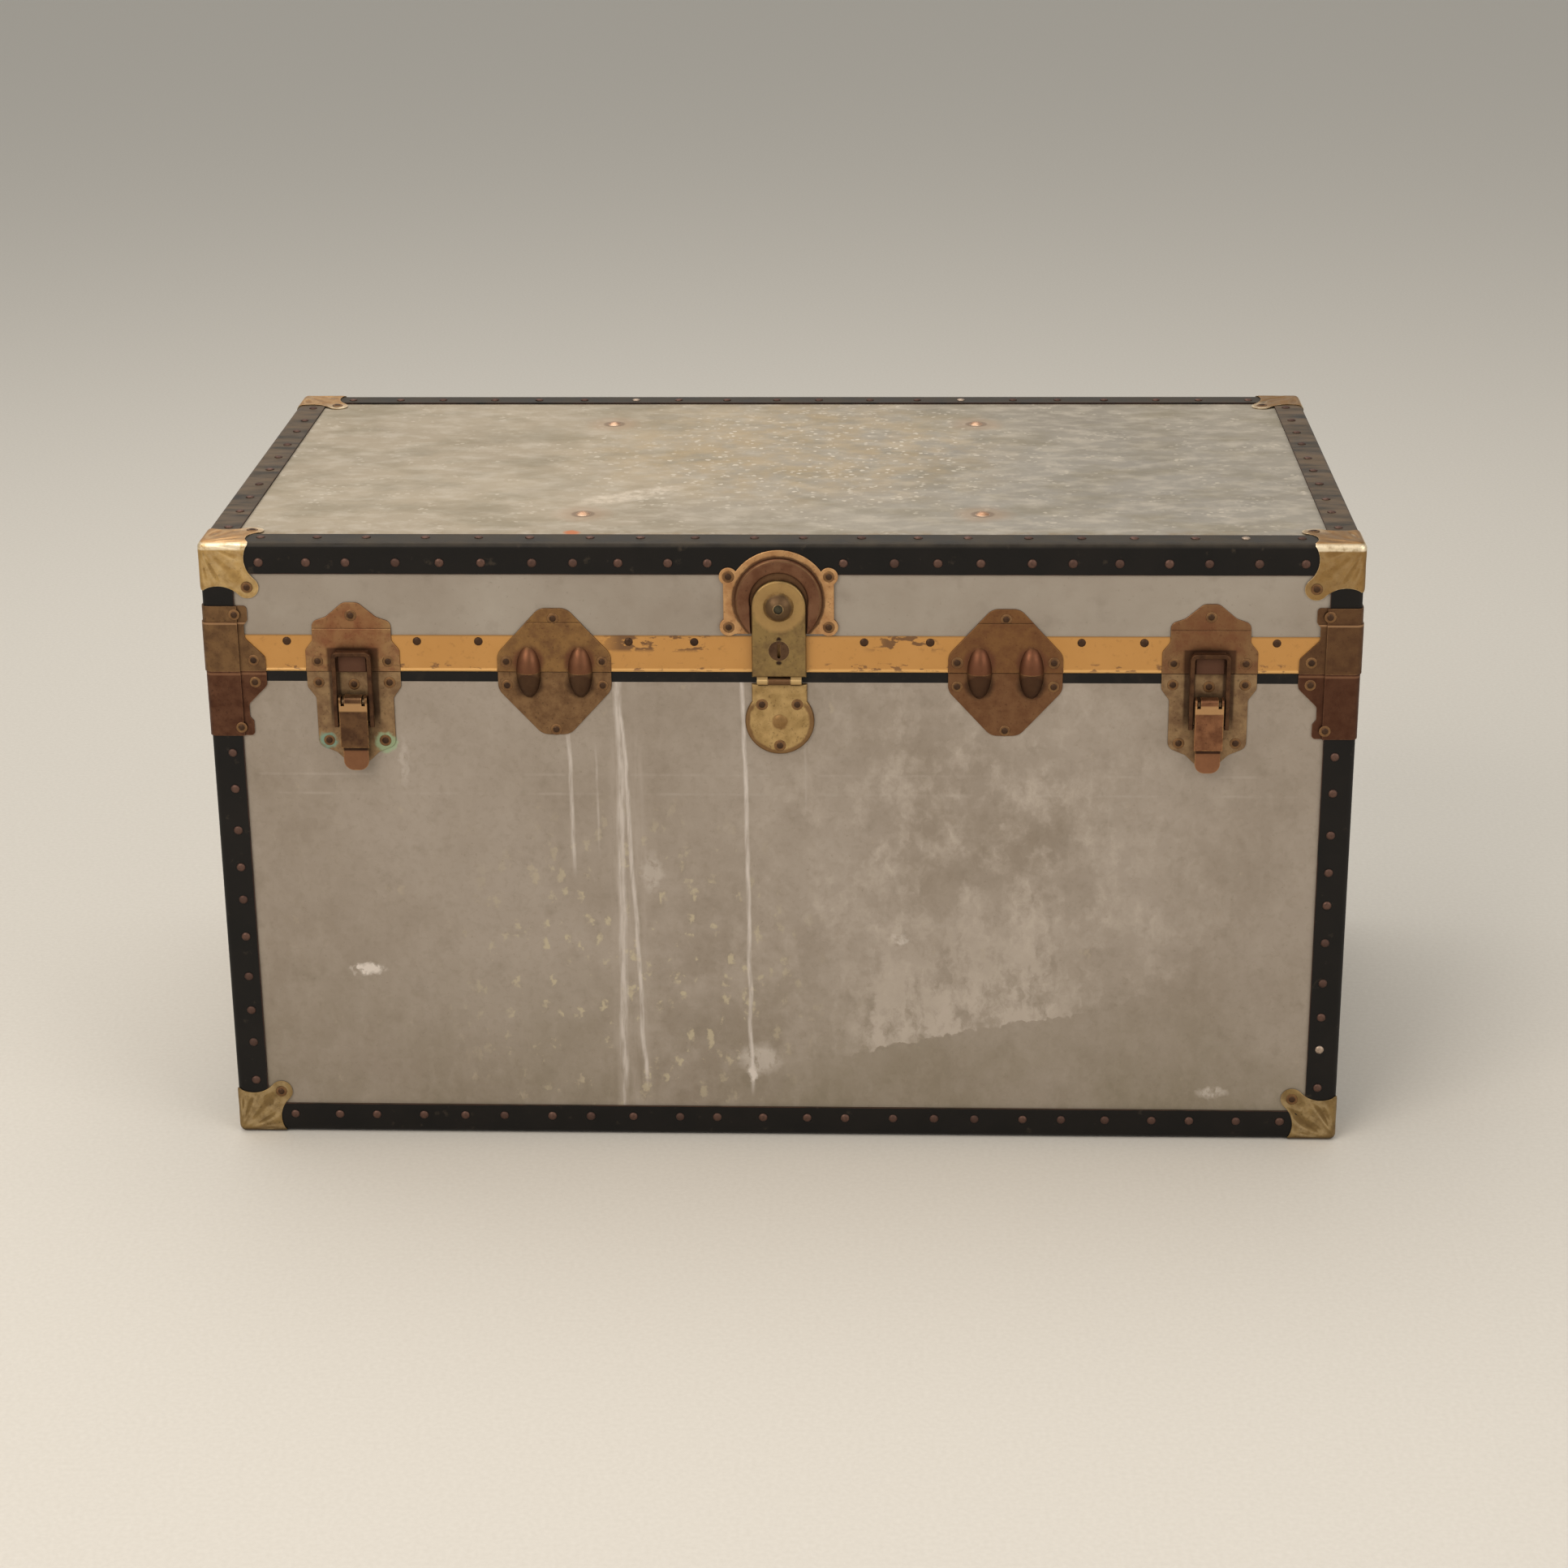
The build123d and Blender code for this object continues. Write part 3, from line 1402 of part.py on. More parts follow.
for side in ("left", "right"):
    for y_way in (-1, 1):
        for z_way in (-1, 1):
            for step in (-1, 1):
                base_spots.append(
                    spot(
                        side,
                        sheet_level + handle_cap_wall,
                        y_way * (cap_middle + step * handle_cap_length / 4),
                        handle_height + z_way * (cap_width - handle_cap_flange) / 2,
                    )
                )

lid_ears = heads([ear_plane(face) for face in cap_faces], fitting_nail_radius, fitting_nail_height)
base_ears = heads([ear_plane(face) for face in cap_faces[::2]], fitting_nail_radius, fitting_nail_height)
with BuildPart() as low_ears:
    mirror(base_ears.part, about=Plane.XY.offset(middle_z))
base_ear_set = corner_set(low_ears.part)
lid_ear_set = corner_set(lid_ears.part)

band_spots = [
    spot(side, band_level, way * at, lid_rim_z + band_nail_rise)
    for side, places in band_nail_places.items()
    for at in places
    for way in (-1, 1)
]
base_heads = heads(base_spots, fitting_nail_radius, fitting_nail_height)
lid_heads = heads(lid_spots, fitting_nail_radius, fitting_nail_height)
band_heads = heads(band_spots, band_nail_radius, band_nail_height)
with BuildPart() as base_fitting_nails:
    add([base_heads.part, base_ear_set.part], clean=False)
finish(base_fitting_nails, "base_fitting_nails")
with BuildPart() as lid_fitting_nails:
    add([lid_heads.part, lid_ear_set.part, band_heads.part], clean=False)
finish(lid_fitting_nails, "lid_fitting_nails")
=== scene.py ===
import bmesh
import bpy
import math
import numpy as np
from mathutils import Matrix, Vector


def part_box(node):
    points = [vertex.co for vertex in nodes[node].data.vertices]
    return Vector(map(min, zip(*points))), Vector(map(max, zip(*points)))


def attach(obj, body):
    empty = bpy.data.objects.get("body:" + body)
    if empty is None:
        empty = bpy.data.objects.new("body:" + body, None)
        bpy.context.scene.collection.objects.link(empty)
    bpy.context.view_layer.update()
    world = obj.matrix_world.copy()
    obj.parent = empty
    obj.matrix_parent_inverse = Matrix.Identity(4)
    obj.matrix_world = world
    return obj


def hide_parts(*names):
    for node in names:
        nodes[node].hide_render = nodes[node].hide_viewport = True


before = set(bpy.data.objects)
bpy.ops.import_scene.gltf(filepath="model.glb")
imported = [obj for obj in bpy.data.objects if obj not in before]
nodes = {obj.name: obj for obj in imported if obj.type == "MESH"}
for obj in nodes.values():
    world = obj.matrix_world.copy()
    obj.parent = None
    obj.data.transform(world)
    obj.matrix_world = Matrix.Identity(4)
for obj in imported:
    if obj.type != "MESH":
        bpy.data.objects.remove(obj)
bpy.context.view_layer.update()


# Room: a plain pale floor, even daylight, and three large soft lamps. The camera stands where
# the photograph was taken: a little to the right of the lock, at standing height, looking down.
CAMERA_PLACE = Vector((0.1036, -2.6988, 1.2276))
CAMERA_YAW = -0.041
CAMERA_PITCH = 0.356
CAMERA_ROLL = -0.010
CAMERA_LENS = 75.23
SENSOR = 36.0
FLOOR_HALF = 14.0
LAMPS_AIM = Vector((0, 0, 0.3))
LAMPS = (
    ("key_lamp", (-1.9, -2.9, 2.7), 2.4, 88.0, "#fff5ea"),
    ("fill_lamp", (2.6, -2.4, 1.9), 2.4, 42.0, "#fff7ef"),
    ("top_lamp", (-0.5, 0.7, 3.0), 2.6, 44.0, "#fffaf3"),
)


def linear(code):
    """A colour given as an sRGB hex code, as the linear values that shaders take."""
    values = [int(code[i:i + 2], 16) / 255 for i in (1, 3, 5)]
    return tuple(v / 12.92 if v <= 0.04045 else ((v + 0.055) / 1.055) ** 2.4 for v in values) + (1.0,)


def put(tree, kind, inputs=None, **settings):
    """Adds a node with its settings. An input is a value, or a socket that it's linked to."""
    made = tree.nodes.new(kind)
    for name, value in settings.items():
        setattr(made, name, value)
    for key, value in (inputs or {}).items():
        if isinstance(value, bpy.types.NodeSocket):
            tree.links.new(value, made.inputs[key])
        else:
            made.inputs[key].default_value = value
    return made


def new_material(name):
    made = bpy.data.materials.new(name)
    made.use_nodes = True
    made.node_tree.nodes.clear()
    return made, made.node_tree


def surface(tree, colour, rough, heights=(), extra=None):
    """Ends a material with its shader. The heights come from the finest on, each with its strength and its
    reach in metres."""
    inputs = {"Base Color": colour, "Roughness": rough, **(extra or {})}
    for height, strength, reach in heights:
        bump = put(tree, "ShaderNodeBump", {"Height": height, "Strength": strength, "Distance": reach})
        if "Normal" in inputs:
            tree.links.new(inputs["Normal"], bump.inputs["Normal"])
        inputs["Normal"] = bump.outputs["Normal"]
    shader = put(tree, "ShaderNodeBsdfPrincipled", inputs)
    put(tree, "ShaderNodeOutputMaterial", {"Surface": shader.outputs["BSDF"]})


camera = bpy.data.objects.new("camera", bpy.data.cameras.new("camera"))
camera.data.lens = CAMERA_LENS
camera.data.sensor_width = SENSOR
camera.data.clip_end = 100
ahead = Vector((
    math.sin(CAMERA_YAW) * math.cos(CAMERA_PITCH),
    math.cos(CAMERA_YAW) * math.cos(CAMERA_PITCH),
    -math.sin(CAMERA_PITCH),
))
level_right = Vector((math.cos(CAMERA_YAW), -math.sin(CAMERA_YAW), 0))
level_up = level_right.cross(ahead)
right = level_right * math.cos(CAMERA_ROLL) + level_up * math.sin(CAMERA_ROLL)
upward = level_up * math.cos(CAMERA_ROLL) - level_right * math.sin(CAMERA_ROLL)
camera.matrix_world = Matrix.Translation(CAMERA_PLACE) @ Matrix((right, upward, -ahead)).transposed().to_4x4()
bpy.context.scene.collection.objects.link(camera)
bpy.context.scene.camera = camera

for name, place, size, power, colour in LAMPS:
    lamp = bpy.data.objects.new(name, bpy.data.lights.new(name, "AREA"))
    lamp.data.size = size
    lamp.data.energy = power
    lamp.data.color = linear(colour)[:3]
    lamp.location = place
    lamp.rotation_euler = (LAMPS_AIM - Vector(place)).to_track_quat("-Z", "Y").to_euler()
    bpy.context.scene.collection.objects.link(lamp)

daylight = bpy.data.worlds.new("daylight")
daylight.use_nodes = True
daylight.node_tree.nodes["Background"].inputs["Color"].default_value = linear("#e9e7e2")
daylight.node_tree.nodes["Background"].inputs["Strength"].default_value = 0.6
bpy.context.scene.world = daylight
bpy.context.scene.view_settings.view_transform = "Standard"

floor_mesh = bpy.data.meshes.new("floor")
floor_mesh.from_pydata(
    [(x * FLOOR_HALF, y * FLOOR_HALF, 0) for x, y in ((-1, -1), (1, -1), (1, 1), (-1, 1))], [], [(0, 1, 2, 3)])
floor = bpy.data.objects.new("floor", floor_mesh)
bpy.context.scene.collection.objects.link(floor)
pale_floor, tree = new_material("pale_floor")
place = put(tree, "ShaderNodeTexCoord").outputs["Object"]
fleck = put(tree, "ShaderNodeTexNoise", {"Vector": place, "Scale": 260.0, "Detail": 3.0}).outputs["Fac"]
floor_colour = put(tree, "ShaderNodeMix", {
    0: fleck, 6: linear("#c9c4bb"), 7: linear("#d6d2ca")}, data_type="RGBA").outputs[2]
surface(tree, floor_colour, 0.75)
floor_mesh.materials.append(pale_floor)


def finish_nodes(material, *names):
    """Gives CAD nodes their finish."""
    for name in names:
        mesh = nodes[name].data
        mesh.materials.clear()
        mesh.materials.append(material)


def shared(tree, *masks):
    """The mask that several masks have in common. A number among them makes it fainter. A value in a tuple
    with two readings counts as nothing at the first and as all at the second."""
    result = None
    for mask in masks:
        if isinstance(mask, tuple):
            value, nothing, all_of_it = mask
            mask = put(tree, "ShaderNodeMapRange", {
                "Value": value, "From Min": nothing, "From Max": all_of_it}).outputs["Result"]
        result = mask if result is None else put(
            tree, "ShaderNodeMath", {0: result, 1: mask}, operation="MULTIPLY").outputs[0]
    return result


def patches(tree, place, size, low, high, detail=6.0):
    """A mask of ragged patches about as wide as size. It rises from low to high in the noise."""
    noise = put(tree, "ShaderNodeTexNoise", {
        "Vector": place, "Scale": 1 / size, "Detail": detail, "Roughness": 0.6})
    return shared(tree, (noise.outputs["Fac"], low, high))


def uneven(tree, place, size, least, most):
    """A roughness that differs from patch to patch."""
    return put(tree, "ShaderNodeMapRange", {
        "Value": patches(tree, place, size, 0.3, 0.7), "To Min": least, "To Max": most}).outputs["Result"]


def coated(tree, colour, *coats):
    """Lays coats over a colour. A coat lies where all its masks are, and ends with its hex code."""
    for *masks, code in coats:
        colour = put(tree, "ShaderNodeMix", {
            0: shared(tree, *masks), 6: colour, 7: linear(code)}, data_type="RGBA").outputs[2]
    return colour


def wandering(tree, place, size, reach):
    """The place, moved about by up to half of reach over distances of size, so that edges turn ragged."""
    noise = put(tree, "ShaderNodeTexNoise", {"Vector": place, "Scale": 1 / size, "Detail": 4.0})
    centred = put(
        tree, "ShaderNodeVectorMath", {0: noise.outputs["Color"], 1: (0.5,) * 3}, operation="SUBTRACT")
    moved = put(tree, "ShaderNodeVectorMath", {0: centred.outputs["Vector"], 1: (reach,) * 3, 2: place},
                operation="MULTIPLY_ADD")
    return moved.outputs["Vector"]


def round_mark(tree, place, centre, radius, soft, inner=0.0):
    """A mask of a round mark, or of a ring where it has an inner radius."""
    away = put(tree, "ShaderNodeVectorMath", {0: place, 1: centre}, operation="DISTANCE").outputs["Value"]
    hole = [(away, inner - soft, inner)] if inner else []
    return shared(tree, (away, radius + soft, radius), *hole)


def between(tree, value, low, high, soft):
    """A mask that is 1 where the value lies between low and high."""
    return shared(tree, (value, low - soft, low), (value, high + soft, high))


def any_of(tree, *masks):
    """The mask of what lies in any of several masks."""
    result = masks[0]
    for mask in masks[1:]:
        result = put(tree, "ShaderNodeMath", {0: result, 1: mask}, operation="MAXIMUM").outputs[0]
    return result


# Boards: birch plywood, glued up and cut to length. Its plies show only at the rims, and it is
# never varnished, so it looks pale, dry and a little dirty where hands lift the lid.
plywood, tree = new_material("birch_plywood")
place = put(tree, "ShaderNodeTexCoord").outputs["Object"]
stretched = put(tree, "ShaderNodeMapping", {"Vector": place, "Scale": (3.0, 3.0, 60.0)}).outputs["Vector"]
plies = put(tree, "ShaderNodeTexNoise", {"Vector": stretched, "Scale": 14.0, "Detail": 6.0}).outputs["Fac"]
ply_colour = put(tree, "ShaderNodeMix", {
    0: plies, 6: linear("#7d6242"), 7: linear("#b89a70")}, data_type="RGBA").outputs[2]
ply_colour = coated(tree, ply_colour, (patches(tree, place, 0.05, 0.5, 0.75), 0.5, "#5b4630"))
surface(tree, ply_colour, 0.75, [(plies, 0.3, 0.0004)])
finish_nodes(plywood, "base_floor_board", "lid_top_board", "lid_battens", *[
    f"{half}_{side}_board" for half in ("base", "lid") for side in ("front", "back", "left", "right")])


# Sheets: soft aluminium, rolled thin and tacked flat over the boards, with its edges under the
# bindings. It has gone dull and warm grey, with a white bloom where it stood damp.
GRAIN_WIDTH = 0.0012  # the rollers left a grain four times as fine, drawn as coarse as it needs to show
DENT_WIDTH = 0.09
SHEET_METALLIC = 0.5


def sheet_aluminium(name, dull, bright, grime, marks=None):
    """Dull rolled aluminium. marks takes the tree, the place and the colour so far, and returns the colour."""
    material, tree = new_material(name)
    place = put(tree, "ShaderNodeTexCoord").outputs["Object"]
    base = put(tree, "ShaderNodeMix", {
        0: patches(tree, place, 0.16, 0.36, 0.64, 8.0), 6: linear(dull), 7: linear(bright)}, data_type="RGBA")
    colour = coated(
        tree, base.outputs[2],
        (patches(tree, place, 0.035, 0.48, 0.72, 7.0), 0.35, bright),
        (patches(tree, place, 0.022, 0.55, 0.75, 5.0), 0.4, grime),
        (patches(tree, place, 0.003, 0.66, 0.74, 2.0), 0.4, grime),
    )
    if marks:
        colour = marks(tree, place, colour)
    grain_place = put(tree, "ShaderNodeMapping", {"Vector": place, "Scale": (0.06, 1.0, 1.0)}).outputs["Vector"]
    grain = put(tree, "ShaderNodeTexNoise", {"Vector": grain_place, "Scale": 1 / GRAIN_WIDTH, "Detail": 2.0})
    dents = put(tree, "ShaderNodeTexNoise", {"Vector": place, "Scale": 1 / DENT_WIDTH, "Detail": 2.0})
    surface(tree, colour, uneven(tree, place, 0.05, 0.5, 0.68),
            [(grain.outputs["Fac"], 0.12, 0.0003), (dents.outputs["Fac"], 0.35, 0.004)],
            {"Metallic": SHEET_METALLIC})
    return material


# Water ran down the front: each streak's x at its head, foot, head, half width, strength and lean
STREAKS = (
    (-0.1700, 0.250, 0.356, 0.0016, 0.75, 0.02),
    (-0.1485, 0.270, 0.330, 0.0010, 0.35, 0.02),
    (-0.1280, 0.060, 0.400, 0.0030, 0.80, -0.01),
    (-0.1270, 0.060, 0.380, 0.0017, 0.90, 0.042),
    (-0.1300, 0.140, 0.300, 0.0012, 0.60, -0.012),
    (-0.1330, 0.030, 0.120, 0.0012, 0.55, 0.0),
    (-0.0290, 0.055, 0.400, 0.0017, 0.95, 0.010),
    (0.0200, 0.300, 0.395, 0.0010, 0.20, 0.0),
)
STREAK_WANDER = 0.006
HAZE_SIDES = (-0.135, -0.112)
HAZE_ENDS = (0.03, 0.33)
DAMP_FOOT = (0.17, 0.02)
# Round marks, each with its middle, its radius and how softly it ends
BLOOM = ((0.155, 0, 0.225), 0.10, 0.14)
LEFT_BLOOM = ((-0.06, 0, 0.12), 0.05, 0.09)
SPLASH = ((-0.12, 0, 0.14), 0.08, 0.09)
# Under the bloom a tide line slopes up to the right from its foot, and the bloom is thickest just over it
TIDE_SIDES = (0.075, 0.215)
TIDE_DEPTH = 0.13
TIDE_SLOPE = 0.200
TIDE_FOOT = 0.0664
FAINT_LINES = (0.3195, 0.3030)
# Each smudge's x and height, half its width and half its height, and its strength
SMUDGES = (
    ((-0.3407, 0.1490), (0.016, 0.0055), 1.0),
    ((-0.0250, 0.0560), (0.004, 0.0080), 0.9),
    ((-0.0200, 0.0700), (0.020, 0.0160), 0.45),
    ((0.0960, 0.1790), (0.009, 0.0060), 0.55),
    ((-0.1050, 0.2350), (0.010, 0.0200), 0.3),
    ((0.3537, 0.0420), (0.014, 0.0060), 0.5),
    ((-0.3020, 0.3300), (0.004, 0.0220), 0.22),
)
# Green crust round two nails: each one's x and height, its radius and its colour
VERDIGRIS = (((-0.3620, 0.3490), 0.0052, "#7fa08f"), ((-0.3158, 0.3475), 0.0072, "#9aae8c"))


def front_marks(tree, place, colour):
    """The streaks, bloom, smudges and paint specks on the front."""
    flat = put(tree, "ShaderNodeVectorMath", {0: place, 1: (1, 0, 1)}, operation="MULTIPLY").outputs["Vector"]
    ragged = wandering(tree, flat, 0.03, 0.024)
    x, _, z = put(tree, "ShaderNodeSeparateXYZ", {"Vector": flat}).outputs
    olive = shared(tree, (z, *DAMP_FOOT), patches(tree, place, 0.12, 0.3, 0.6), 0.7)

    torn = wandering(tree, flat, 0.007, 0.012)
    slanted = put(tree, "ShaderNodeMapping", {
        "Vector": torn, "Rotation": (0, 0.7, 0), "Scale": (1, 1, 0.45)}).outputs["Vector"]
    tide_place = put(tree, "ShaderNodeSeparateXYZ", {"Vector": wandering(tree, torn, 0.04, 0.03)}).outputs
    above_tide = put(tree, "ShaderNodeMath", {
        0: tide_place["X"], 1: -TIDE_SLOPE, 2: tide_place["Z"]}, operation="MULTIPLY_ADD").outputs[0]
    above = shared(tree, (above_tide, TIDE_FOOT - 0.0015, TIDE_FOOT))
    bloom = shared(tree, round_mark(tree, ragged, *BLOOM), patches(tree, torn, 0.036, 0.44, 0.60, 12.0),
                   patches(tree, slanted, 0.010, 0.3, 0.65, 8.0), 0.75, above)
    tide_patch = shared(
        tree, above, (above_tide, TIDE_FOOT + TIDE_DEPTH, TIDE_FOOT + 0.02),
        between(tree, tide_place["X"], *TIDE_SIDES, 0.03), patches(tree, slanted, 0.02, 0.40, 0.54, 12.0), 0.8)

    streak_place = wandering(tree, put(tree, "ShaderNodeMapping", {
        "Vector": flat, "Scale": (0.15, 1, 1)}).outputs["Vector"], 0.06, STREAK_WANDER)
    sway = put(tree, "ShaderNodeSeparateXYZ", {"Vector": streak_place}).outputs["Z"]
    sway = put(tree, "ShaderNodeMath", {0: sway, 1: z}, operation="SUBTRACT").outputs[0]
    swayed = put(tree, "ShaderNodeMath", {0: x, 1: sway}, operation="ADD").outputs[0]
    breaks_place = put(tree, "ShaderNodeMapping", {"Vector": flat, "Scale": (1, 1, 0.12)}).outputs["Vector"]
    breaks = patches(tree, breaks_place, 0.003, 0.25, 0.6, 4.0)
    runs = []
    for at, foot, head, half, strength, lean in STREAKS:
        straight = put(tree, "ShaderNodeMath", {0: z, 1: lean, 2: swayed}, operation="MULTIPLY_ADD").outputs[0]
        middle = at + lean * head
        runs.append(shared(tree, between(tree, straight, middle - half * 0.4, middle + half * 0.4, half),
                           between(tree, z, foot, head, 0.02), strength))
    haze = shared(tree, between(tree, swayed, *HAZE_SIDES, 0.006), between(tree, z, *HAZE_ENDS, 0.05),
                  patches(tree, breaks_place, 0.006, 0.35, 0.65), 0.45)

    drops_place = put(tree, "ShaderNodeMapping", {
        "Vector": wandering(tree, flat, 0.005, 0.012), "Rotation": (0, 0.6, 0), "Scale": (1, 1, 0.5),
    }).outputs["Vector"]
    specks = put(tree, "ShaderNodeTexVoronoi", {"Vector": drops_place, "Scale": 95.0})
    speck = shared(tree, (specks.outputs["Distance"], 0.32, 0.2))
    splash = shared(tree, speck, round_mark(tree, flat, *SPLASH), patches(tree, flat, 0.018, 0.42, 0.50), 0.8)
    scatter = shared(tree, speck, patches(tree, flat, 0.03, 0.60, 0.68), 0.5)

    coats = [
        (olive, "#7f7560"),
        (patches(tree, slanted, 0.010, 0.45, 0.7, 8.0), 0.25, "#aba093"),
        (patches(tree, torn, 0.006, 0.5, 0.7, 6.0), 0.22, "#7b7060"),
        (bloom, "#b9aea2"),
        (round_mark(tree, ragged, *LEFT_BLOOM), patches(tree, place, 0.04, 0.48, 0.66), 0.5, "#aea397"),
        (tide_patch, "#b8ada1"),
        (haze, "#b1a69b"),
        (splash, "#b9ad93"),
        (scatter, "#ada08c"),
        (any_of(tree, *runs), breaks, "#c9c0b8"),
    ]
    for height in FAINT_LINES:
        coats.append((between(tree, z, height, height + 0.0008, 0.0012),
                      patches(tree, flat, 0.05, 0.45, 0.6), 0.3, "#b3a99e"))
    for (at, height), (wide, tall), strength in SMUDGES:
        spread = put(tree, "ShaderNodeMapping", {
            "Vector": torn, "Location": (-at / wide, 0, -height / tall), "Scale": (1 / wide, 1, 1 / tall)})
        smudge = round_mark(tree, spread.outputs["Vector"], (0, 0, 0), 0.55, 0.5)
        coats.append((smudge, patches(tree, slanted, 0.006, 0.35, 0.5, 10.0), strength, "#d2c9c0"))
    for (at, height), radius, code in VERDIGRIS:
        crust = round_mark(tree, wandering(tree, flat, 0.004, 0.005), (at, 0, height), radius + 0.001, 0.002)
        coats.append((crust, 0.8, code))
    return coated(tree, colour, *coats)


# The top: where its four rivets come through, its front edge, the scrape, and its round marks
RIVET_PLACES = ((-0.161, -0.152), (0.161, -0.152), (-0.161, 0.143), (0.161, 0.143))
TOP_FRONT = -0.2165
SCRAPE_MIDDLE = (-0.124, -0.094, 0)
SCRAPE_TURN = 0.59
SCRAPE_SIZE = (0.063, 0.016, 1)
LEFT_DUST = ((-0.33, 0, 0), 0.2, 0.3)
RIGHT_DULL = ((0.24, -0.1, 0), 0.12, 0.25)
MIDDLE_STAIN = ((0.0, 0.06, 0), 0.1, 0.12)
CRUMBS = ((0.01, 0.04, 0), 0.10, 0.12)
RUST_SPOT = ((-0.165, TOP_FRONT + 0.010, 0), 0.004, 0.004)


def top_marks(tree, place, colour):
    """The dust, scrapes, worn rings and rust on the lid's top."""
    flat = put(tree, "ShaderNodeVectorMath", {0: place, 1: (1, 1, 0)}, operation="MULTIPLY").outputs["Vector"]
    ragged = wandering(tree, flat, 0.05, 0.05)
    y = put(tree, "ShaderNodeSeparateXYZ", {"Vector": ragged}).outputs["Y"]
    drag_place = put(tree, "ShaderNodeMapping", {"Vector": flat, "Scale": (0.6, 1, 1)}).outputs["Vector"]
    specks = put(tree, "ShaderNodeTexVoronoi", {"Vector": wandering(tree, flat, 0.005, 0.006), "Scale": 130.0})
    speck = shared(tree, (specks.outputs["Distance"], 0.3, 0.2))
    crumbs = shared(tree, speck, round_mark(tree, ragged, *CRUMBS),
                    patches(tree, flat, 0.02, 0.42, 0.54), 0.75)
    scattered = shared(tree, speck, patches(tree, flat, 0.04, 0.48, 0.60), 0.55)
    scrape_place = put(tree, "ShaderNodeMapping", {
        "Vector": wandering(tree, flat, 0.03, 0.02), "Location": SCRAPE_MIDDLE, "Rotation": (0, 0, SCRAPE_TURN),
        "Scale": SCRAPE_SIZE}, vector_type="TEXTURE")
    scrape = shared(tree, round_mark(tree, scrape_place.outputs["Vector"], (0, 0, 0), 0.5, 0.5),
                    patches(tree, flat, 0.008, 0.3, 0.6), 0.8)
    coats = [
        (round_mark(tree, ragged, *LEFT_DUST), 0.6, "#b3a48d"),
        (round_mark(tree, ragged, *RIGHT_DULL), 0.5, "#9b968e"),
        (patches(tree, drag_place, 0.016, 0.46, 0.64, 9.0), 0.5, "#c2b8a8"),
        (patches(tree, drag_place, 0.055, 0.48, 0.64, 9.0), 0.5, "#80765f"),
        (round_mark(tree, ragged, *MIDDLE_STAIN), patches(tree, flat, 0.03, 0.4, 0.6), 0.45, "#b79f78"),
        (scrape, "#d3c6b4"),
        (scattered, "#cbc1b0"),
        (crumbs, "#d6cdbd"),
        (between(tree, y, TOP_FRONT, TOP_FRONT + 0.006, 0.012),
         patches(tree, flat, 0.012, 0.4, 0.6), 0.6, "#8e7a5c"),
    ]
    for at, back in RIVET_PLACES:
        centre = (at, back, 0)
        stained = wandering(tree, flat, 0.02, 0.012)
        coats.append((round_mark(tree, stained, centre, 0.014, 0.014), 0.45, "#a58a70"))
        coats.append((round_mark(tree, flat, centre, 0.0085, 0.002, 0.006), 0.5, "#6b5442"))
    coats.append((round_mark(tree, wandering(tree, flat, 0.006, 0.006), *RUST_SPOT), 0.9, "#c07040"))
    return coated(tree, colour, *coats)


finish_nodes(sheet_aluminium("aluminium_front", "#8f8375", "#a1968a", "#7d7263", front_marks),
             "base_front_sheet")
finish_nodes(sheet_aluminium("aluminium_top", "#8e8577", "#a39a8a", "#7b7262", top_marks), "lid_top_sheet")
finish_nodes(sheet_aluminium("aluminium_walls", "#92877a", "#a39a8e", "#80766a"),
             "base_back_sheet", "base_end_sheets", "base_floor_sheet",
             "lid_front_sheet", "lid_back_sheet", "lid_end_sheets")


# Linings: buff paper pasted over the boards inside. It is painted darker into the inside corners, as painted
# shade, and has a few brown spots from damp.
lining_paper, tree = new_material("lining_paper")
place = put(tree, "ShaderNodeTexCoord").outputs["Object"]
fibres = put(tree, "ShaderNodeTexNoise", {"Vector": place, "Scale": 700.0, "Detail": 3.0}).outputs["Fac"]
paper = put(tree, "ShaderNodeMix", {
    0: fibres, 6: linear("#a8966f"), 7: linear("#c4b48d")}, data_type="RGBA").outputs[2]
open_space = put(tree, "ShaderNodeAmbientOcclusion", {"Distance": 0.08}, samples=6).outputs["AO"]
paper = coated(
    tree, paper,
    (patches(tree, place, 0.18, 0.4, 0.7), 0.5, "#9c8659"),
    # Painted shade into the inside corners, from ambient occlusion.
    ((open_space, 0.95, 0.45), 0.45, "#7c6745"),
    (patches(tree, place, 0.012, 0.66, 0.72, 3.0), 0.55, "#7d5f38"),
)
surface(tree, paper, 0.85, [(fibres, 0.25, 0.0003)])
finish_nodes(lining_paper, "base_lining", "lid_lining")


# Bindings: vulcanised fibre, bent hot to an angle over every edge and nailed along both legs.
# It is black right through, but handling polishes it grey-brown; its upward faces carry dust and a painted
# sheen.
def facing_up(tree, low, high):
    """A mask of the faces that look upwards."""
    facing = put(tree, "ShaderNodeNewGeometry").outputs["Normal"]
    _, _, upright = put(tree, "ShaderNodeSeparateXYZ", {"Vector": facing}).outputs
    return shared(tree, (upright, low, high))


def worn_edges(tree, radius, low, high):
    """A mask of what lies within a radius of a sharp edge."""
    facing = put(tree, "ShaderNodeNewGeometry").outputs["Normal"]
    rounded = put(tree, "ShaderNodeBevel", {"Radius": radius}, samples=6).outputs["Normal"]
    turned = put(tree, "ShaderNodeVectorMath", {0: rounded, 1: facing}, operation="DOT_PRODUCT")
    return shared(tree, (turned.outputs["Value"], low, high))


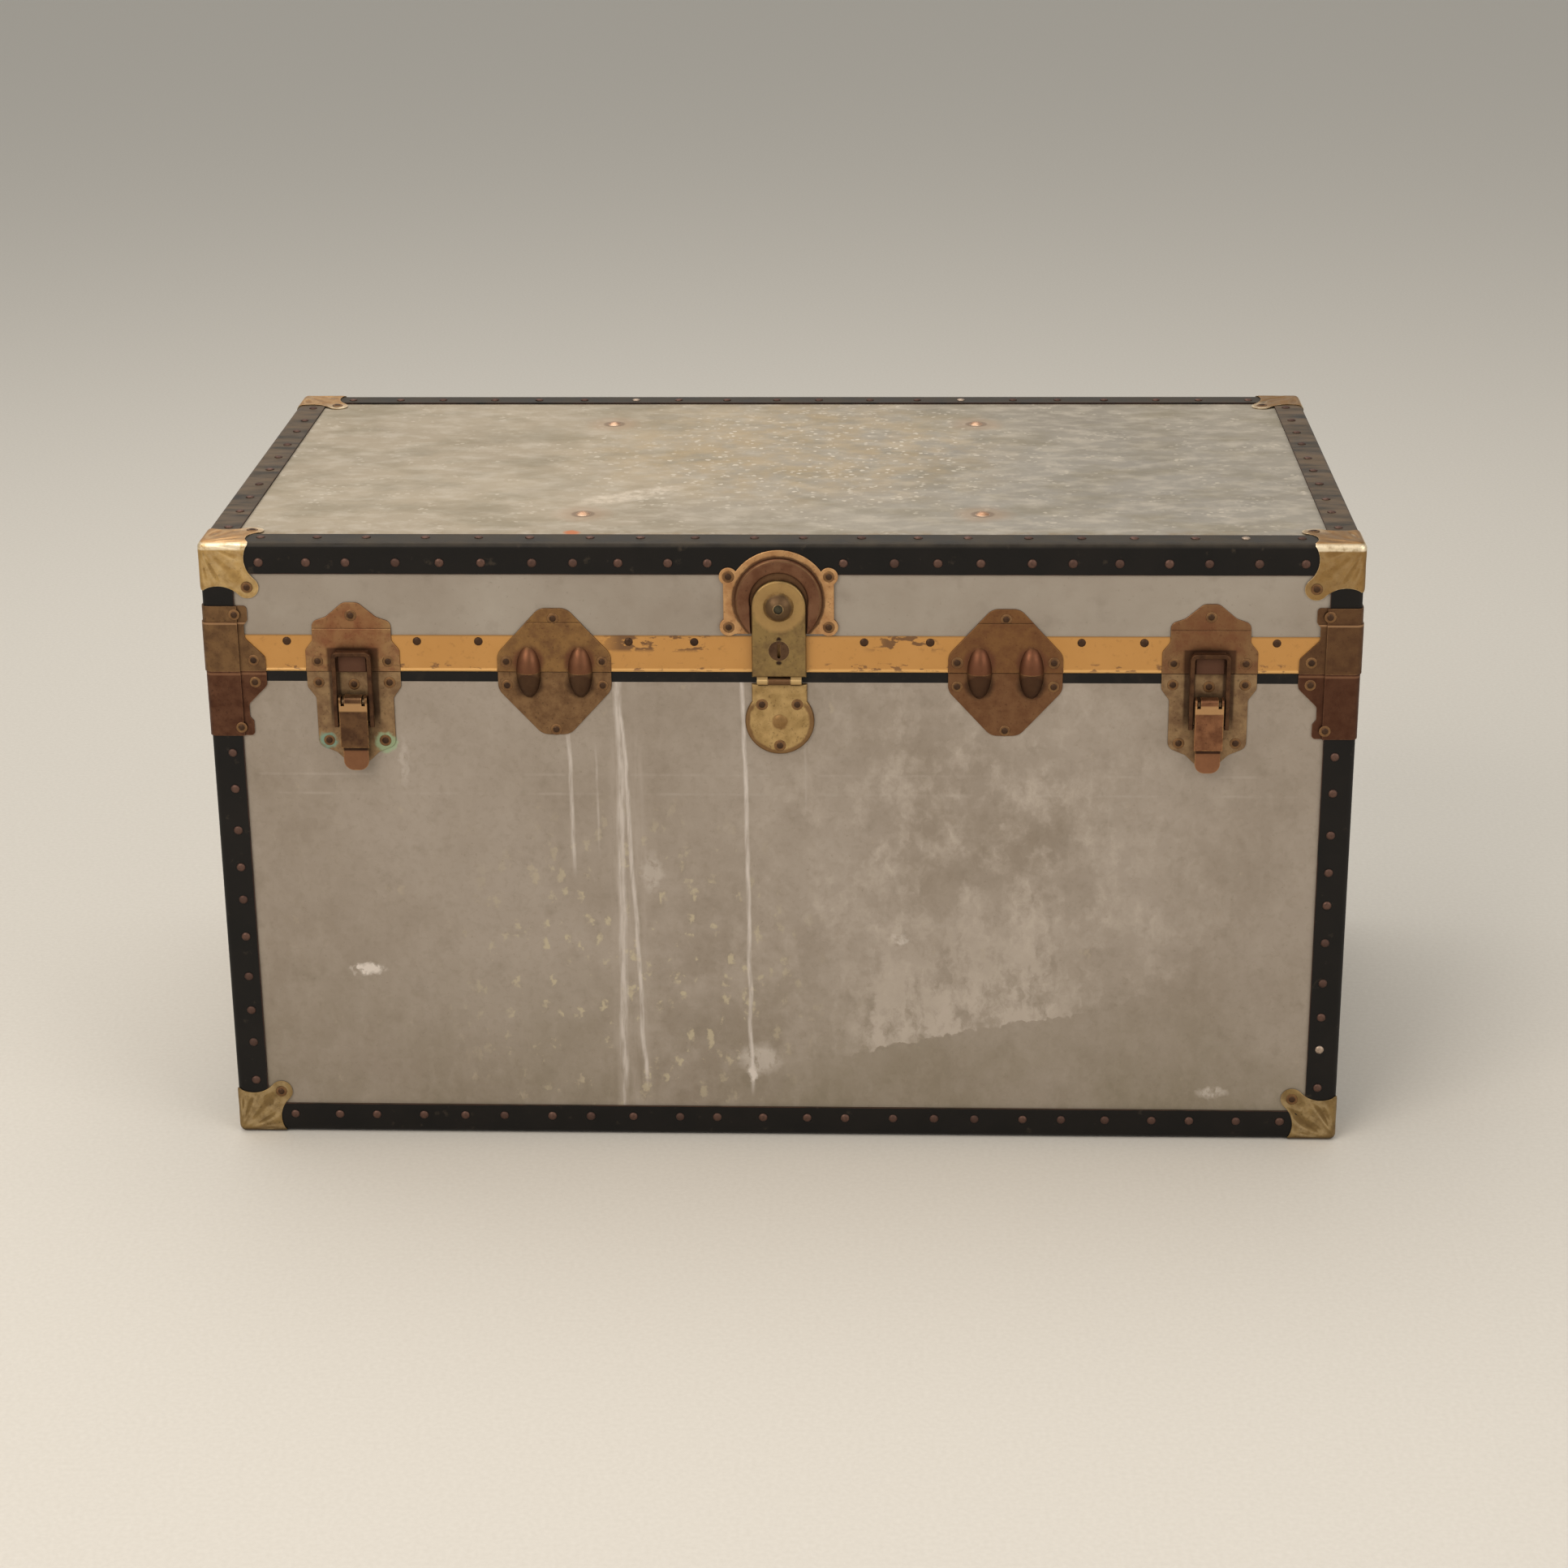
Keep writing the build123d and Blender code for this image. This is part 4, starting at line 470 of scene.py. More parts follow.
ON_ENDS = (0.427, 0.432)
fibre, tree = new_material("black_vulcanised_fibre")
place = put(tree, "ShaderNodeTexCoord").outputs["Object"]
upward = facing_up(tree, 0.15, 0.9)
across = put(tree, "ShaderNodeMapping", {"Vector": place, "Scale": (0.25, 1, 1)}).outputs["Vector"]
aside = put(tree, "ShaderNodeMath", {
    0: put(tree, "ShaderNodeSeparateXYZ", {"Vector": place}).outputs["X"]}, operation="ABSOLUTE").outputs[0]
fibre_colour = coated(
    tree, linear("#0d0b09"),
    (patches(tree, place, 0.05, 0.35, 0.7, 7.0), 0.5, "#1a1511"),
    # Upward faces: dust with a painted sheen.
    (upward, patches(tree, place, 0.03, 0.2, 0.62, 7.0), 0.5, "#544a3c"),
    (upward, (aside, *ON_ENDS), patches(tree, across, 0.012, 0.35, 0.6, 5.0), 0.65, "#6e5b46"),
    (patches(tree, place, 0.012, 0.64, 0.74, 4.0), 0.4, "#4a4034"),
    (worn_edges(tree, 0.0012, 0.97, 0.8), patches(tree, place, 0.02, 0.35, 0.55), 0.6, "#6a4636"),
)
fibre_grain = put(tree, "ShaderNodeTexNoise", {"Vector": place, "Scale": 900.0, "Detail": 3.0}).outputs["Fac"]
fibre_waves = put(tree, "ShaderNodeTexNoise", {"Vector": place, "Scale": 45.0, "Detail": 2.0}).outputs["Fac"]
surface(tree, fibre_colour, uneven(tree, place, 0.03, 0.38, 0.6), [
    (fibre_grain, 0.2, 0.0002), (fibre_waves, 0.3, 0.0015)], {"IOR": 1.48, "Specular IOR Level": 0.22})
finish_nodes(fibre, "base_bottom_bindings", "base_corner_bindings", "lid_top_bindings", "lid_corner_bindings")


# Bands round the seam: thin steel strip, folded over at the lid's lower edge. The lid's is
# lacquered gold, chipped brown along its edges, and the base's is stoved black, with the shadow under the gold
# band's lip painted in.
CHIPPED_STRETCHES = ((-0.125, -0.060), (0.085, 0.112))
FRONT_FACE = (-0.3, -0.2)
gold_lacquer, tree = new_material("gold_lacquer")
place = put(tree, "ShaderNodeTexCoord").outputs["Object"]
x, y, z = put(tree, "ShaderNodeSeparateXYZ", {"Vector": place}).outputs
band_low, band_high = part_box("lid_band")[0].z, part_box("lid_band")[1].z
chip_place = put(tree, "ShaderNodeMapping", {"Vector": place, "Scale": (0.45, 1, 1)}).outputs["Vector"]
chip = patches(tree, chip_place, 0.009, 0.53, 0.56, 4.0)
chipped = shared(
    tree, any_of(tree, *[between(tree, x, low, high, 0.02) for low, high in CHIPPED_STRETCHES]),
    between(tree, z, band_high - 0.011, band_high, 0.003), between(tree, y, *FRONT_FACE, 0.001))
edge_chips = shared(tree, patches(tree, chip_place, 0.005, 0.58, 0.62, 4.0),
                    between(tree, z, band_low + 0.002, band_low + 0.006, 0.002))
gold_colour = coated(
    tree, linear("#b17f3e"),
    (patches(tree, place, 0.06, 0.35, 0.65), 0.5, "#bd8b4b"),
    (patches(tree, place, 0.004, 0.6, 0.72, 3.0), 0.35, "#8a5f2c"),
    # Painted highlight on the folded lower lip.
    (between(tree, z, band_low, band_low + 0.0026, 0.0006), 0.55, "#d3a764"),
    (between(tree, z, band_high - 0.0006, band_high + 0.001, 0.0006), 0.6, "#8a6532"),
    (chip, chipped, "#6d4a26"),
    (edge_chips, 0.8, "#6b4728"),
)
surface(tree, gold_colour, uneven(tree, place, 0.03, 0.36, 0.5),
        [(patches(tree, place, 0.05, 0.2, 0.8, 2.0), 0.25, 0.001)],
        {"Metallic": 0.25, "IOR": 1.5, "Coat Weight": 0.2, "Coat Roughness": 0.3})
finish_nodes(gold_lacquer, "lid_band")

black_lacquer_and_shade, tree = new_material("stoved_black_lacquer")
place = put(tree, "ShaderNodeTexCoord").outputs["Object"]
# Near-black lacquer, with the shadow under the gold band's lip painted in.
black_colour = coated(
    tree, linear("#0a0807"), (patches(tree, place, 0.02, 0.5, 0.7), 0.6, "#241e18"),
    (patches(tree, place, 0.004, 0.66, 0.7), 0.6, "#4a3626"))
surface(tree, black_colour, uneven(tree, place, 0.02, 0.35, 0.5), (), {"IOR": 1.5, "Specular IOR Level": 0.25})
finish_nodes(black_lacquer_and_shade, "base_rim_strip")


# Corner caps: brass-plated steel, pressed to three lobes round each corner. The deep pressing
# left creases that spread from the corner. Painted shade lies in the creases, and painted highlights on their
# shoulders and on the lid caps' rounded upper edges.
def pressed_metal(name, face, tarnish, grime, rubbed, marks=None, patch=0.011, rough=(0.36, 0.6), rub=0.0011,
                  dust="#a88a62", dusty=0.0, hollow_shade=0.75):
    """Plated sheet steel gone dull: tarnished in patches, painted dark in its hollows as painted shade, and
    bare where it is rubbed.
    marks takes the tree, the place with no depth, and its x and z, and returns more coats."""
    material, tree = new_material(name)
    place = put(tree, "ShaderNodeTexCoord").outputs["Object"]
    open_sky = put(tree, "ShaderNodeAmbientOcclusion", {"Distance": 0.007}, samples=6).outputs["AO"]
    coats = [
        (patches(tree, place, patch, 0.4, 0.62), tarnish),
        (patches(tree, place, patch * 0.35, 0.5, 0.7), 0.4, face),
        (patches(tree, place, 0.0022, 0.6, 0.7, 3.0), 0.45, grime),
        (facing_up(tree, 0.6, 0.95), dusty, dust),
    ]
    if marks:
        level = put(tree, "ShaderNodeVectorMath", {
            0: wandering(tree, place, 0.006, 0.003), 1: (1, 0, 1)}, operation="MULTIPLY").outputs["Vector"]
        x, _, z = put(tree, "ShaderNodeSeparateXYZ", {"Vector": place}).outputs
        coats += marks(tree, level, x, z)
    coats += [
        # Painted shade: ambient occlusion darkens the hollows with the grime colour.
        ((open_sky, 0.93, 0.45), hollow_shade, grime),
        (worn_edges(tree, rub, 0.98, 0.8), (open_sky, 0.6, 0.9),
         patches(tree, place, 0.004, 0.35, 0.6), 0.8, rubbed),
    ]
    grain = put(tree, "ShaderNodeTexNoise", {"Vector": place, "Scale": 900.0, "Detail": 3.0}).outputs["Fac"]
    dents = put(tree, "ShaderNodeTexNoise", {"Vector": place, "Scale": 70.0, "Detail": 2.0}).outputs["Fac"]
    surface(tree, coated(tree, linear(face), *coats), uneven(tree, place, patch * 0.8, *rough),
            [(grain, 0.18, 0.0002), (dents, 0.3, 0.0012)], {"Metallic": 0.85})
    return material


def mesh_object(name, mesh):
    made = bpy.data.objects.new(name, mesh)
    bpy.context.scene.collection.objects.link(made)
    return made


def skinned(work, rings, closed=False):
    """Lays faces between the rings. Closed rings make a bar, which gets its two ends too."""
    for ring, following in zip(rings, rings[1:]):
        for i in range(len(ring) if closed else len(ring) - 1):
            j = (i + 1) % len(ring)
            work.faces.new((ring[i], ring[j], following[j], following[i]))
    if closed:
        work.faces.new(rings[0])
        work.faces.new(rings[-1])


def meshed(name, work):
    """An object made of the faces so far, turned outwards."""
    bmesh.ops.recalc_face_normals(work, faces=work.faces)
    mesh = bpy.data.meshes.new(name)
    work.to_mesh(mesh)
    work.free()
    return mesh_object(name, mesh)


def settle(made, name):
    """Turns an object with modifiers into a plain mesh object."""
    bpy.context.view_layer.update()
    mesh = bpy.data.meshes.new_from_object(made.evaluated_get(bpy.context.evaluated_depsgraph_get()))
    bpy.data.objects.remove(made)
    mesh.name = name
    return mesh_object(name, mesh)


CAP_THICK = 0.0012
CAP_REACH = 0.0390 + CAP_THICK
CAP_SCALLOP = (0.0355 + CAP_THICK, 0.01473 + CAP_THICK)
CAP_EAR = 0.0365 + CAP_THICK
CAP_EAR_RADIUS = 0.0092
CAP_EAR_TURN = math.radians(50)
CAP_ROUND = 0.0057
CAP_SHELL = 0.0011
CAP_STRIP_END = 0.0258 + CAP_THICK
CAP_EAR_DROP = 0.0016
CAP_RIM = 0.00025
EAR_FOLD = 0.0003
CAP_SPOKES = 10
CAP_RIM_FROM = 0.955
CAP_RINGS = [step / 18 * CAP_RIM_FROM for step in range(19)] + [0.985, 1.0]
# A crease's angle from the edge and its half width in degrees, its depth, and how far from the corner it starts
CREASES = (
    (13, 4.0, 0.0007, 0.014),
    (25, 4.5, 0.0009, 0.010),
    (47, 9.0, 0.0006, 0.009),
    (66, 5.0, 0.0007, 0.012),
    (77, 4.0, 0.0006, 0.015),
)
CREASE_DEPTH = 0.0010
CREASE_RISE = 0.010
CREASE_BEND = 9  # degrees that a crease may bend by on its way to the rim
# Where the lid caps' rounded edges get painted highlights: the top edge's heights, the end edges' distance from
# the middle
TOP_EDGE = (0.5082, 0.5124)
END_EDGE = (0.4800, 0.4840)


def arc(start, through, end, count):
    """Points on the circle through three points, without the last of them."""
    first, second = through - start, end - through
    centre = Matrix((first, second)).inverted() @ Vector((
        (start + through).dot(first) / 2, (through + end).dot(second) / 2))
    spokes = [spoke - centre for spoke in (start, through, end)]
    sweep = sum(math.atan2(a.cross(b), a.dot(b)) for a, b in zip(spokes, spokes[1:]))
    return [centre + Matrix.Rotation(sweep * step / count, 2) @ spokes[0] for step in range(count)]


def cap_outline():
    """A lobe's outline, measured along two edges from the cap's outer corner."""
    middle = Vector((CAP_EAR, CAP_EAR))
    foot = middle + CAP_EAR_RADIUS * Vector((math.cos(CAP_EAR_TURN), -math.sin(CAP_EAR_TURN)))
    tip = middle + CAP_EAR_RADIUS * Vector((1, 1)).normalized()
    half = [Vector((CAP_REACH, 0)), Vector((CAP_REACH, CAP_THICK))]
    half += arc(Vector((CAP_REACH, 2 * CAP_THICK)), Vector(CAP_SCALLOP), foot, 2 * CAP_SPOKES)
    ear = arc(foot, tip, foot.yx, 2 * CAP_SPOKES)
    return half + ear + [point.yx for point in reversed(half)]


def cap_point(at, share, turns):
    """A point of the cap's outer face, from its two places along it, and how deep it lies in a crease, from
    0 to 1. The face is rounded at the edges, dropped at the ear and creased. turns holds each crease's own
    turn."""
    x, y = at
    cube = Vector((x, y, 0))
    core = Vector((max(value, CAP_ROUND) for value in cube))
    out = (cube - core).normalized()
    run = (x + y) / math.sqrt(2)
    start, tip = CAP_STRIP_END * math.sqrt(2), CAP_EAR * math.sqrt(2) + CAP_EAR_RADIUS
    sunk = CAP_EAR_DROP * max(0.0, run - start) / (tip - start)
    angle = math.degrees(math.atan2(y, x))
    away = math.hypot(x, y)
    fade = min(1.0, (1.0 - share) / 0.3 + 0.15)
    creased = 0.0
    for (middle, half, depth, begins), turn in zip(CREASES, turns):
        rise = min(1.0, max(0.0, (away - begins) / CREASE_RISE))
        bend = turn * away / CAP_REACH
        creased += depth * rise * fade * math.exp(-((angle - middle - bend) / half) ** 2)
    creased += EAR_FOLD * fade * math.exp(-((run - start - 0.002) / 0.0018) ** 2)
    sunk += creased
    sunk += CAP_RIM * max(0.0, (share - CAP_RIM_FROM) / (1 - CAP_RIM_FROM)) ** 2
    return core + out * (CAP_ROUND - sunk), creased / CREASE_DEPTH


def creased_caps(node, body, top, seed):
    """The caps at the four corners of the lid's top or of the base's foot."""
    low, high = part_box(node)
    chance = np.random.default_rng(seed)
    work = bmesh.new()
    crease = work.verts.layers.float.new("crease")
    outline = cap_outline()
    for x_way in (-1, 1):
        for y_way in (-1, 1):
            corner = Vector((
                low.x if x_way < 0 else high.x, low.y if y_way < 0 else high.y, high.z if top else low.z))
            ways = (-x_way, -y_way, -1 if top else 1)
            for first, second, third in ((0, 1, 2), (1, 2, 0), (2, 0, 1)):
                turns = chance.uniform(-CREASE_BEND, CREASE_BEND, len(CREASES))
                grid = []
                for share in CAP_RINGS:
                    ring = []
                    for rim in outline:
                        made, creased = cap_point(rim * share, share, turns)
                        place = corner.copy()
                        for axis, value in zip((first, second, third), made):
                            place[axis] += ways[axis] * value
                        ring.append(work.verts.new(place))
                        ring[-1][crease] = creased
                    grid.append(ring)
                skinned(work, grid)
    bmesh.ops.remove_doubles(work, verts=work.verts, dist=2e-6)
    bmesh.ops.dissolve_degenerate(work, edges=work.edges, dist=2e-6)
    caps = meshed(f"creased_{node}", work)
    shell = caps.modifiers.new("shell", "SOLIDIFY")
    shell.thickness = CAP_SHELL
    shell.offset = -1
    caps = settle(caps, f"creased_{node}")
    caps.data.shade_smooth()
    caps.data.set_sharp_from_angle(angle=math.radians(50))
    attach(caps, body)
    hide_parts(node)
    return caps


def crease_shade_marks(tree, level, x, z):
    """The creases are painted dark as painted shade, and their shoulders get painted highlights."""
    crease = put(tree, "ShaderNodeAttribute", attribute_name="crease").outputs["Fac"]
    return [
        # Painted highlights on the crease shoulders, painted shade in the creases.
        (between(tree, crease, 0.15, 0.40, 0.15), patches(tree, level, 0.006, 0.3, 0.6), 0.3, "#dcc59a"),
        ((crease, 0.45, 0.95), 0.35, "#5f492c"),
    ]


def lid_cap_marks(tree, level, x, z):
    """The rounded edges are painted bright as painted highlights, and the right pair of caps is browner."""
    aside = put(tree, "ShaderNodeMath", {0: x}, operation="ABSOLUTE").outputs[0]
    return crease_shade_marks(tree, level, x, z) + [
        (round_mark(tree, level, (0.46, 0, 0.495), 0.07, 0.02), 0.55, "#7a5a33"),
        # Painted highlights along the rounded top and end edges.
        (between(tree, z, *TOP_EDGE, 0.0012), patches(tree, level, 0.008, 0.3, 0.5), 0.85, "#f5e6c8"),
        (between(tree, aside, *END_EDGE, 0.0010), between(tree, z, 0.3, 0.512, 0.0005), 0.5, "#e6cfa4"),
    ]


creased_caps("lid_corner_caps", "lid", True, 3).data.materials.append(pressed_metal(
    "brass_lid_cap", "#b8975f", "#9d7d4b", "#4f3b22", "#e9d3ac", lid_cap_marks, dust="#b0855a", dusty=0.8))
creased_caps("base_corner_caps", "base", False, 8).data.materials.append(pressed_metal(
    "brass_base_cap", "#92794e", "#7b6440", "#3d2e1b", "#b09263", crease_shade_marks))


# Corner clamps: copper-plated steel, folded round each upright edge above and below the seam,
# and nailed through their ears. The plating has gone dark, redder below the seam than above.
# Heights of the clamps' folds, which get painted highlights
LID_CLAMP_FOLD = (0.4468, 0.4476)
BASE_CLAMP_FOLD = (0.4044, 0.4054)


def clamp_marks(tree, level, x, z):
    """The right pair is painted darker as painted shade, and the folds get painted highlights."""
    return [
        # Painted shade on the right pair.
        (round_mark(tree, level, (0.44, 0, 0.407), 0.07, 0.02), 0.45, "#4a2c1e"),
        # Painted highlights along the folds.
        (between(tree, z, *LID_CLAMP_FOLD, 0.0008), 0.65, "#b08a66"),
        (between(tree, z, *BASE_CLAMP_FOLD, 0.0008), 0.4, "#a17658"),
    ]


finish_nodes(pressed_metal("coppered_lid_clamp", "#775a3c", "#614730", "#33221a", "#a07a56", clamp_marks,
                           hollow_shade=0.3), "lid_clamps")
finish_nodes(pressed_metal("coppered_base_clamp", "#60402e", "#4c2e1f", "#2c1a12", "#8a624a", clamp_marks,
                           hollow_shade=0.3), "base_clamps")


# Draw bolts: a catch with a raised block above the seam, a base plate with two ears below it,
# a wire loop that hooks over the block, and a lever that pulls the loop down.
LATCH_X = 0.3387
LATCH_WAYS = (-1, 1)
BLOCK_HALF = 0.0120
# Heights, each from its lower to its upper end
# The block's surround is painted shade, and its upper fold gets a painted highlight
BLOCK_SHADOW = (0.400, 0.4262)
BLOCK_FACE = (0.400, 0.4245)
BLOCK_FOLD = (0.4236, 0.4248)
LOOP_SIDES = (0.372, 0.410)
# The lever's fold and tongue get painted highlights, and its bend painted shade
LEVER_FOLD = (0.3780, 0.3835)
LEVER_BEND = (0.3440, 0.3462)
LEVER_TONGUE = (0.300, 0.3430)


def at_latches(tree, x, inner, outer, soft=0.0006):
    """A mask of the stretches that lie between inner and outer from the middle of a draw bolt."""
    aside = put(tree, "ShaderNodeMath", {0: x}, operation="ABSOLUTE").outputs[0]
    aside = put(tree, "ShaderNodeMath", {0: aside, 1: LATCH_X}, operation="SUBTRACT").outputs[0]
    aside = put(tree, "ShaderNodeMath", {0: aside}, operation="ABSOLUTE").outputs[0]
    return between(tree, aside, inner, outer, soft)


def catch_marks(tree, level, x, z):
    """The block is dark, with a painted highlight on its upper fold, and stands in painted shade. The middle is
    redder.
    """
    coats = [
        (round_mark(tree, level, (way * LATCH_X, 0, 0.438), 0.020, 0.012), 0.4, "#80492f")
        for way in LATCH_WAYS]
    return coats + [
        (round_mark(tree, level, (LATCH_X, 0, 0.430), 0.045, 0.02), 0.45, "#66452f"),
        # Painted shade round the block.
        (at_latches(tree, x, 0.0, 0.0195, 0.002), between(tree, z, *BLOCK_SHADOW, 0.0015), 0.75, "#3c251a"),
        (at_latches(tree, x, 0.0, BLOCK_HALF), between(tree, z, *BLOCK_FACE, 0.0006), 0.85, "#5d4032"),
        # Painted highlight along the block's upper fold.
        (at_latches(tree, x, 0.0, BLOCK_HALF), between(tree, z, *BLOCK_FOLD, 0.0006), 0.7, "#8f6a52"),
    ]


def keeper_marks(tree, level, x, z):
    """Painted shadow at the loop's sides, and green crust round the left plate's lower nails."""
    # Painted shadow of the loop on the plate, at both of its sides.
    loop_shadow = at_latches(tree, x, 0.0115, 0.0190, 0.0015)
    return [(loop_shadow, between(tree, z, *LOOP_SIDES, 0.016), 0.75, "#35221a")] + [
        (round_mark(tree, wandering(tree, level, 0.004, 0.007), (at, 0, height), radius, 0.003), 0.85, code)
        for (at, height), radius, code in VERDIGRIS]


def lever_marks(tree, level, x, z):
    """The upper fold and the tongue get painted highlights, and the bend between them is painted dark as
    painted shade.
    """
    return [
        # Painted highlights on the fold and the tongue, painted shade in the bend.
        (between(tree, z, *LEVER_FOLD, 0.0012), 0.75, "#c2996a"),
        (between(tree, z, *LEVER_TONGUE, 0.0015), 0.7, "#8a5f43"),
        (between(tree, z, *LEVER_BEND, 0.0010), 0.8, "#251711"),
    ]


finish_nodes(pressed_metal("coppered_catch", "#9c7b54", "#875f42", "#3c2618", "#c29a70", catch_marks),
             "drawbolt_catches")
finish_nodes(pressed_metal("coppered_keeper", "#957a59", "#785d44", "#36251a", "#b8976e", keeper_marks),
             "drawbolt_keepers")
for side, face, tarnish in (("left", "#664a32", "#4c3424"), ("right", "#8a5f42", "#6c4630")):
    finish_nodes(pressed_metal(f"coppered_{side}_lever", face, tarnish, "#271912", "#c0935f", lever_marks,
                               rub=0.0016), f"drawbolt_lever_{side}")
finish_nodes(pressed_metal("coppered_loop", "#5b3f2a", "#412b1d", "#1f1510", "#8c6544"),
             "drawbolt_loop_left", "drawbolt_loop_right")


# Dowel plates: brass-brown plates in two halves, each with two hollow bumps that guide the lid
# down on its dowels. The upper bumps are rubbed reddish, and the lower ones are nearly black.
DOWEL_PLATE_X = 0.1785
BUMP_X = 0.0205
LID_BUMPS = (0.4160, 0.0102, "#6b4330")
BASE_BUMPS = (0.3970, 0.0092, "#3f2a1d")


def bump_marks(height, radius, colour):
    """Marks for the bumps of both pairs of plates. The right pair is redder than the left."""
    def coats(tree, level, x, z):
        return [(round_mark(tree, level, (DOWEL_PLATE_X, 0, 0.407), 0.060, 0.01), 0.45, "#6a3f28")] + [
            (round_mark(tree, level, (way * DOWEL_PLATE_X + bump * BUMP_X, 0, height), radius, 0.004),
             0.85, colour)
            for way in (-1, 1) for bump in (-1, 1)]
    return coats


finish_nodes(pressed_metal("brassed_lid_dowel_plate", "#8b6941", "#745437", "#39271a", "#b48c5c",
                           bump_marks(*LID_BUMPS)), "lid_dowel_plates")
finish_nodes(pressed_metal("brassed_base_dowel_plate", "#836546", "#6b4f36", "#2e1f15", "#ab8658",
                           bump_marks(*BASE_BUMPS)), "base_dowel_plates")


# Lock: a plate with four ears and a raised ring on the lid, and a round base plate below. The
# hasp is hinged on the base plate, and carries a sprung button in a boss and a keyhole drum.
RING_MIDDLE = (0, 0, 0.467)
BOSS_MIDDLE = (0, 0, 0.4627)
DRUM_HEIGHT = 0.4267
DRUM_PIN = 0.0098
LOCK_BASE_MIDDLE = (0, 0, 0.3665)
KNUCKLES = (0.3985, 0.4040)
MIDDLE_KNUCKLE = (0.3975, 0.4045)
RING_INNER = 0.0226
RING_OUTER = 0.0346
RING_FOOT = -0.2431
RING_HEIGHT = 0.0038
RING_SIDE_GAP = 0.0221
RING_OPENS_AT = -50
RING_TURNS = 96
RING_ROUNDS = 14
RING_FULLNESS = 0.62


def lock_marks(tree, level, x, z):
    """The plate is dark within its ring and along the ring's foot."""
    return [(round_mark(tree, level, RING_MIDDLE, 0.0360, 0.0012, 0.018), 0.8, "#4d3224")]


def hasp_marks(tree, level, x, z):
    """The boss is dark in a rubbed ring, and the hinge's knuckles are rubbed."""
    return [
        (round_mark(tree, level, BOSS_MIDDLE, 0.0190, 0.0030, 0.0125), 0.6, "#b89560"),
        (round_mark(tree, level, BOSS_MIDDLE, 0.0098, 0.0020), 0.85, "#57412f"),
        (between(tree, z, *KNUCKLES, 0.0008), 0.7, "#cdae7a"),
    ] + [
        (round_mark(tree, level, (0, 0, DRUM_HEIGHT + way * DRUM_PIN), 0.0013, 0.0012), "#33231a")
        for way in (1, -1)]


def lock_base_marks(tree, level, x, z):
    """The round plate's rim and its stud are brown, and so is the middle knuckle of the hinge."""
    middle = put(tree, "ShaderNodeMath", {0: x}, operation="ABSOLUTE").outputs[0]
    return [
        (round_mark(tree, level, LOCK_BASE_MIDDLE, 0.0300, 0.0016, 0.0245),
         between(tree, z, 0.330, 0.379, 0.004), 0.75, "#6b4a30"),
        (round_mark(tree, level, LOCK_BASE_MIDDLE, 0.0055, 0.0015), 0.7, "#7d5a35"),
        (between(tree, middle, 0.0, 0.0088, 0.0003),
         between(tree, z, *MIDDLE_KNUCKLE, 0.0006), 0.85, "#5a3a28"),
    ]


def round_bead():
    """The plate's raised ring as a half-round bead, which is open where the hasp passes through it."""
    work = bmesh.new()
    rings = []
    span = 180 - 2 * RING_OPENS_AT
    for step in range(RING_TURNS + 1):
        angle = math.radians(RING_OPENS_AT + span * step / RING_TURNS)
        inner = RING_INNER
        if angle < 0 or angle > math.pi:
            inner = max(inner, RING_SIDE_GAP / abs(math.cos(angle)))
        middle, half = (RING_OUTER + inner) / 2, (RING_OUTER - inner) / 2
        ring = []
        for turn in range(RING_ROUNDS + 1):
            t = math.pi * turn / RING_ROUNDS
            out = middle + half * math.copysign(abs(math.cos(t)) ** RING_FULLNESS, math.cos(t))
            lift = RING_HEIGHT * math.sin(t) ** RING_FULLNESS
            height = RING_MIDDLE[2] + out * math.sin(angle)
            ring.append(work.verts.new((out * math.cos(angle), RING_FOOT - lift, height)))
        rings.append(ring)
    skinned(work, rings, closed=True)
    bead = meshed("lock_ring_bead", work)
    bead.data.shade_smooth()
    return bead


bead = round_bead()
bead.data.materials.append(
    pressed_metal("reddened_ring", "#77543d", "#66432f", "#35221a", "#a37c5c", patch=0.014))
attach(bead, "lid")

finish_nodes(pressed_metal("brassed_lock_plate", "#c59b6c", "#ac7f55", "#4a301e", "#dcb482", lock_marks),
             "lock_plate")
finish_nodes(pressed_metal("brassed_hasp", "#8f774b", "#786140", "#3a2a1b", "#c2a474", hasp_marks, rub=0.0016),
             "hasp")
finish_nodes(pressed_metal("dark_button", "#54503f", "#3a352a", "#1b1814", "#7d8270"), "release_button")
finish_nodes(pressed_metal("dark_keyhole_drum", "#5f4733", "#4a3527", "#1f1610", "#8b6c4b", rub=0.0004),
             "keyhole_drum")
finish_nodes(pressed_metal("brassed_lock_base", "#b89a68", "#9c8052", "#3f2c1b", "#d0b27e", lock_base_marks),
             "lock_base_plate")


# Back hinges: cut steel leaves rolled round a pin, plated like the corner clamps and out of
# the weather, so they have gone brown evenly. The draw bolts' and the hasp's pins are bare steel.
finish_nodes(pressed_metal("coppered_hinge", "#76553a", "#5f4029", "#2f2017", "#9d7a55"),
             "hinge_base_leaves", "hinge_lid_leaves")
finish_nodes(pressed_metal("dark_steel_pin", "#6b6258", "#544b41", "#2a231c", "#9a9186"), "pivot_pins")


# Lid stays and their brackets: plain mild steel strip, punched and riveted, dull grey with a
# little rust at the rivets.
finish_nodes(pressed_metal("plain_stay_steel", "#8d887f", "#76695c", "#4b3a2c", "#b9b4ab"),
             "stay_base_brackets", "stay_lid_brackets",
             *[f"stay_{arm}_arm_{side}" for arm in ("upper", "lower") for side in ("left", "right")])


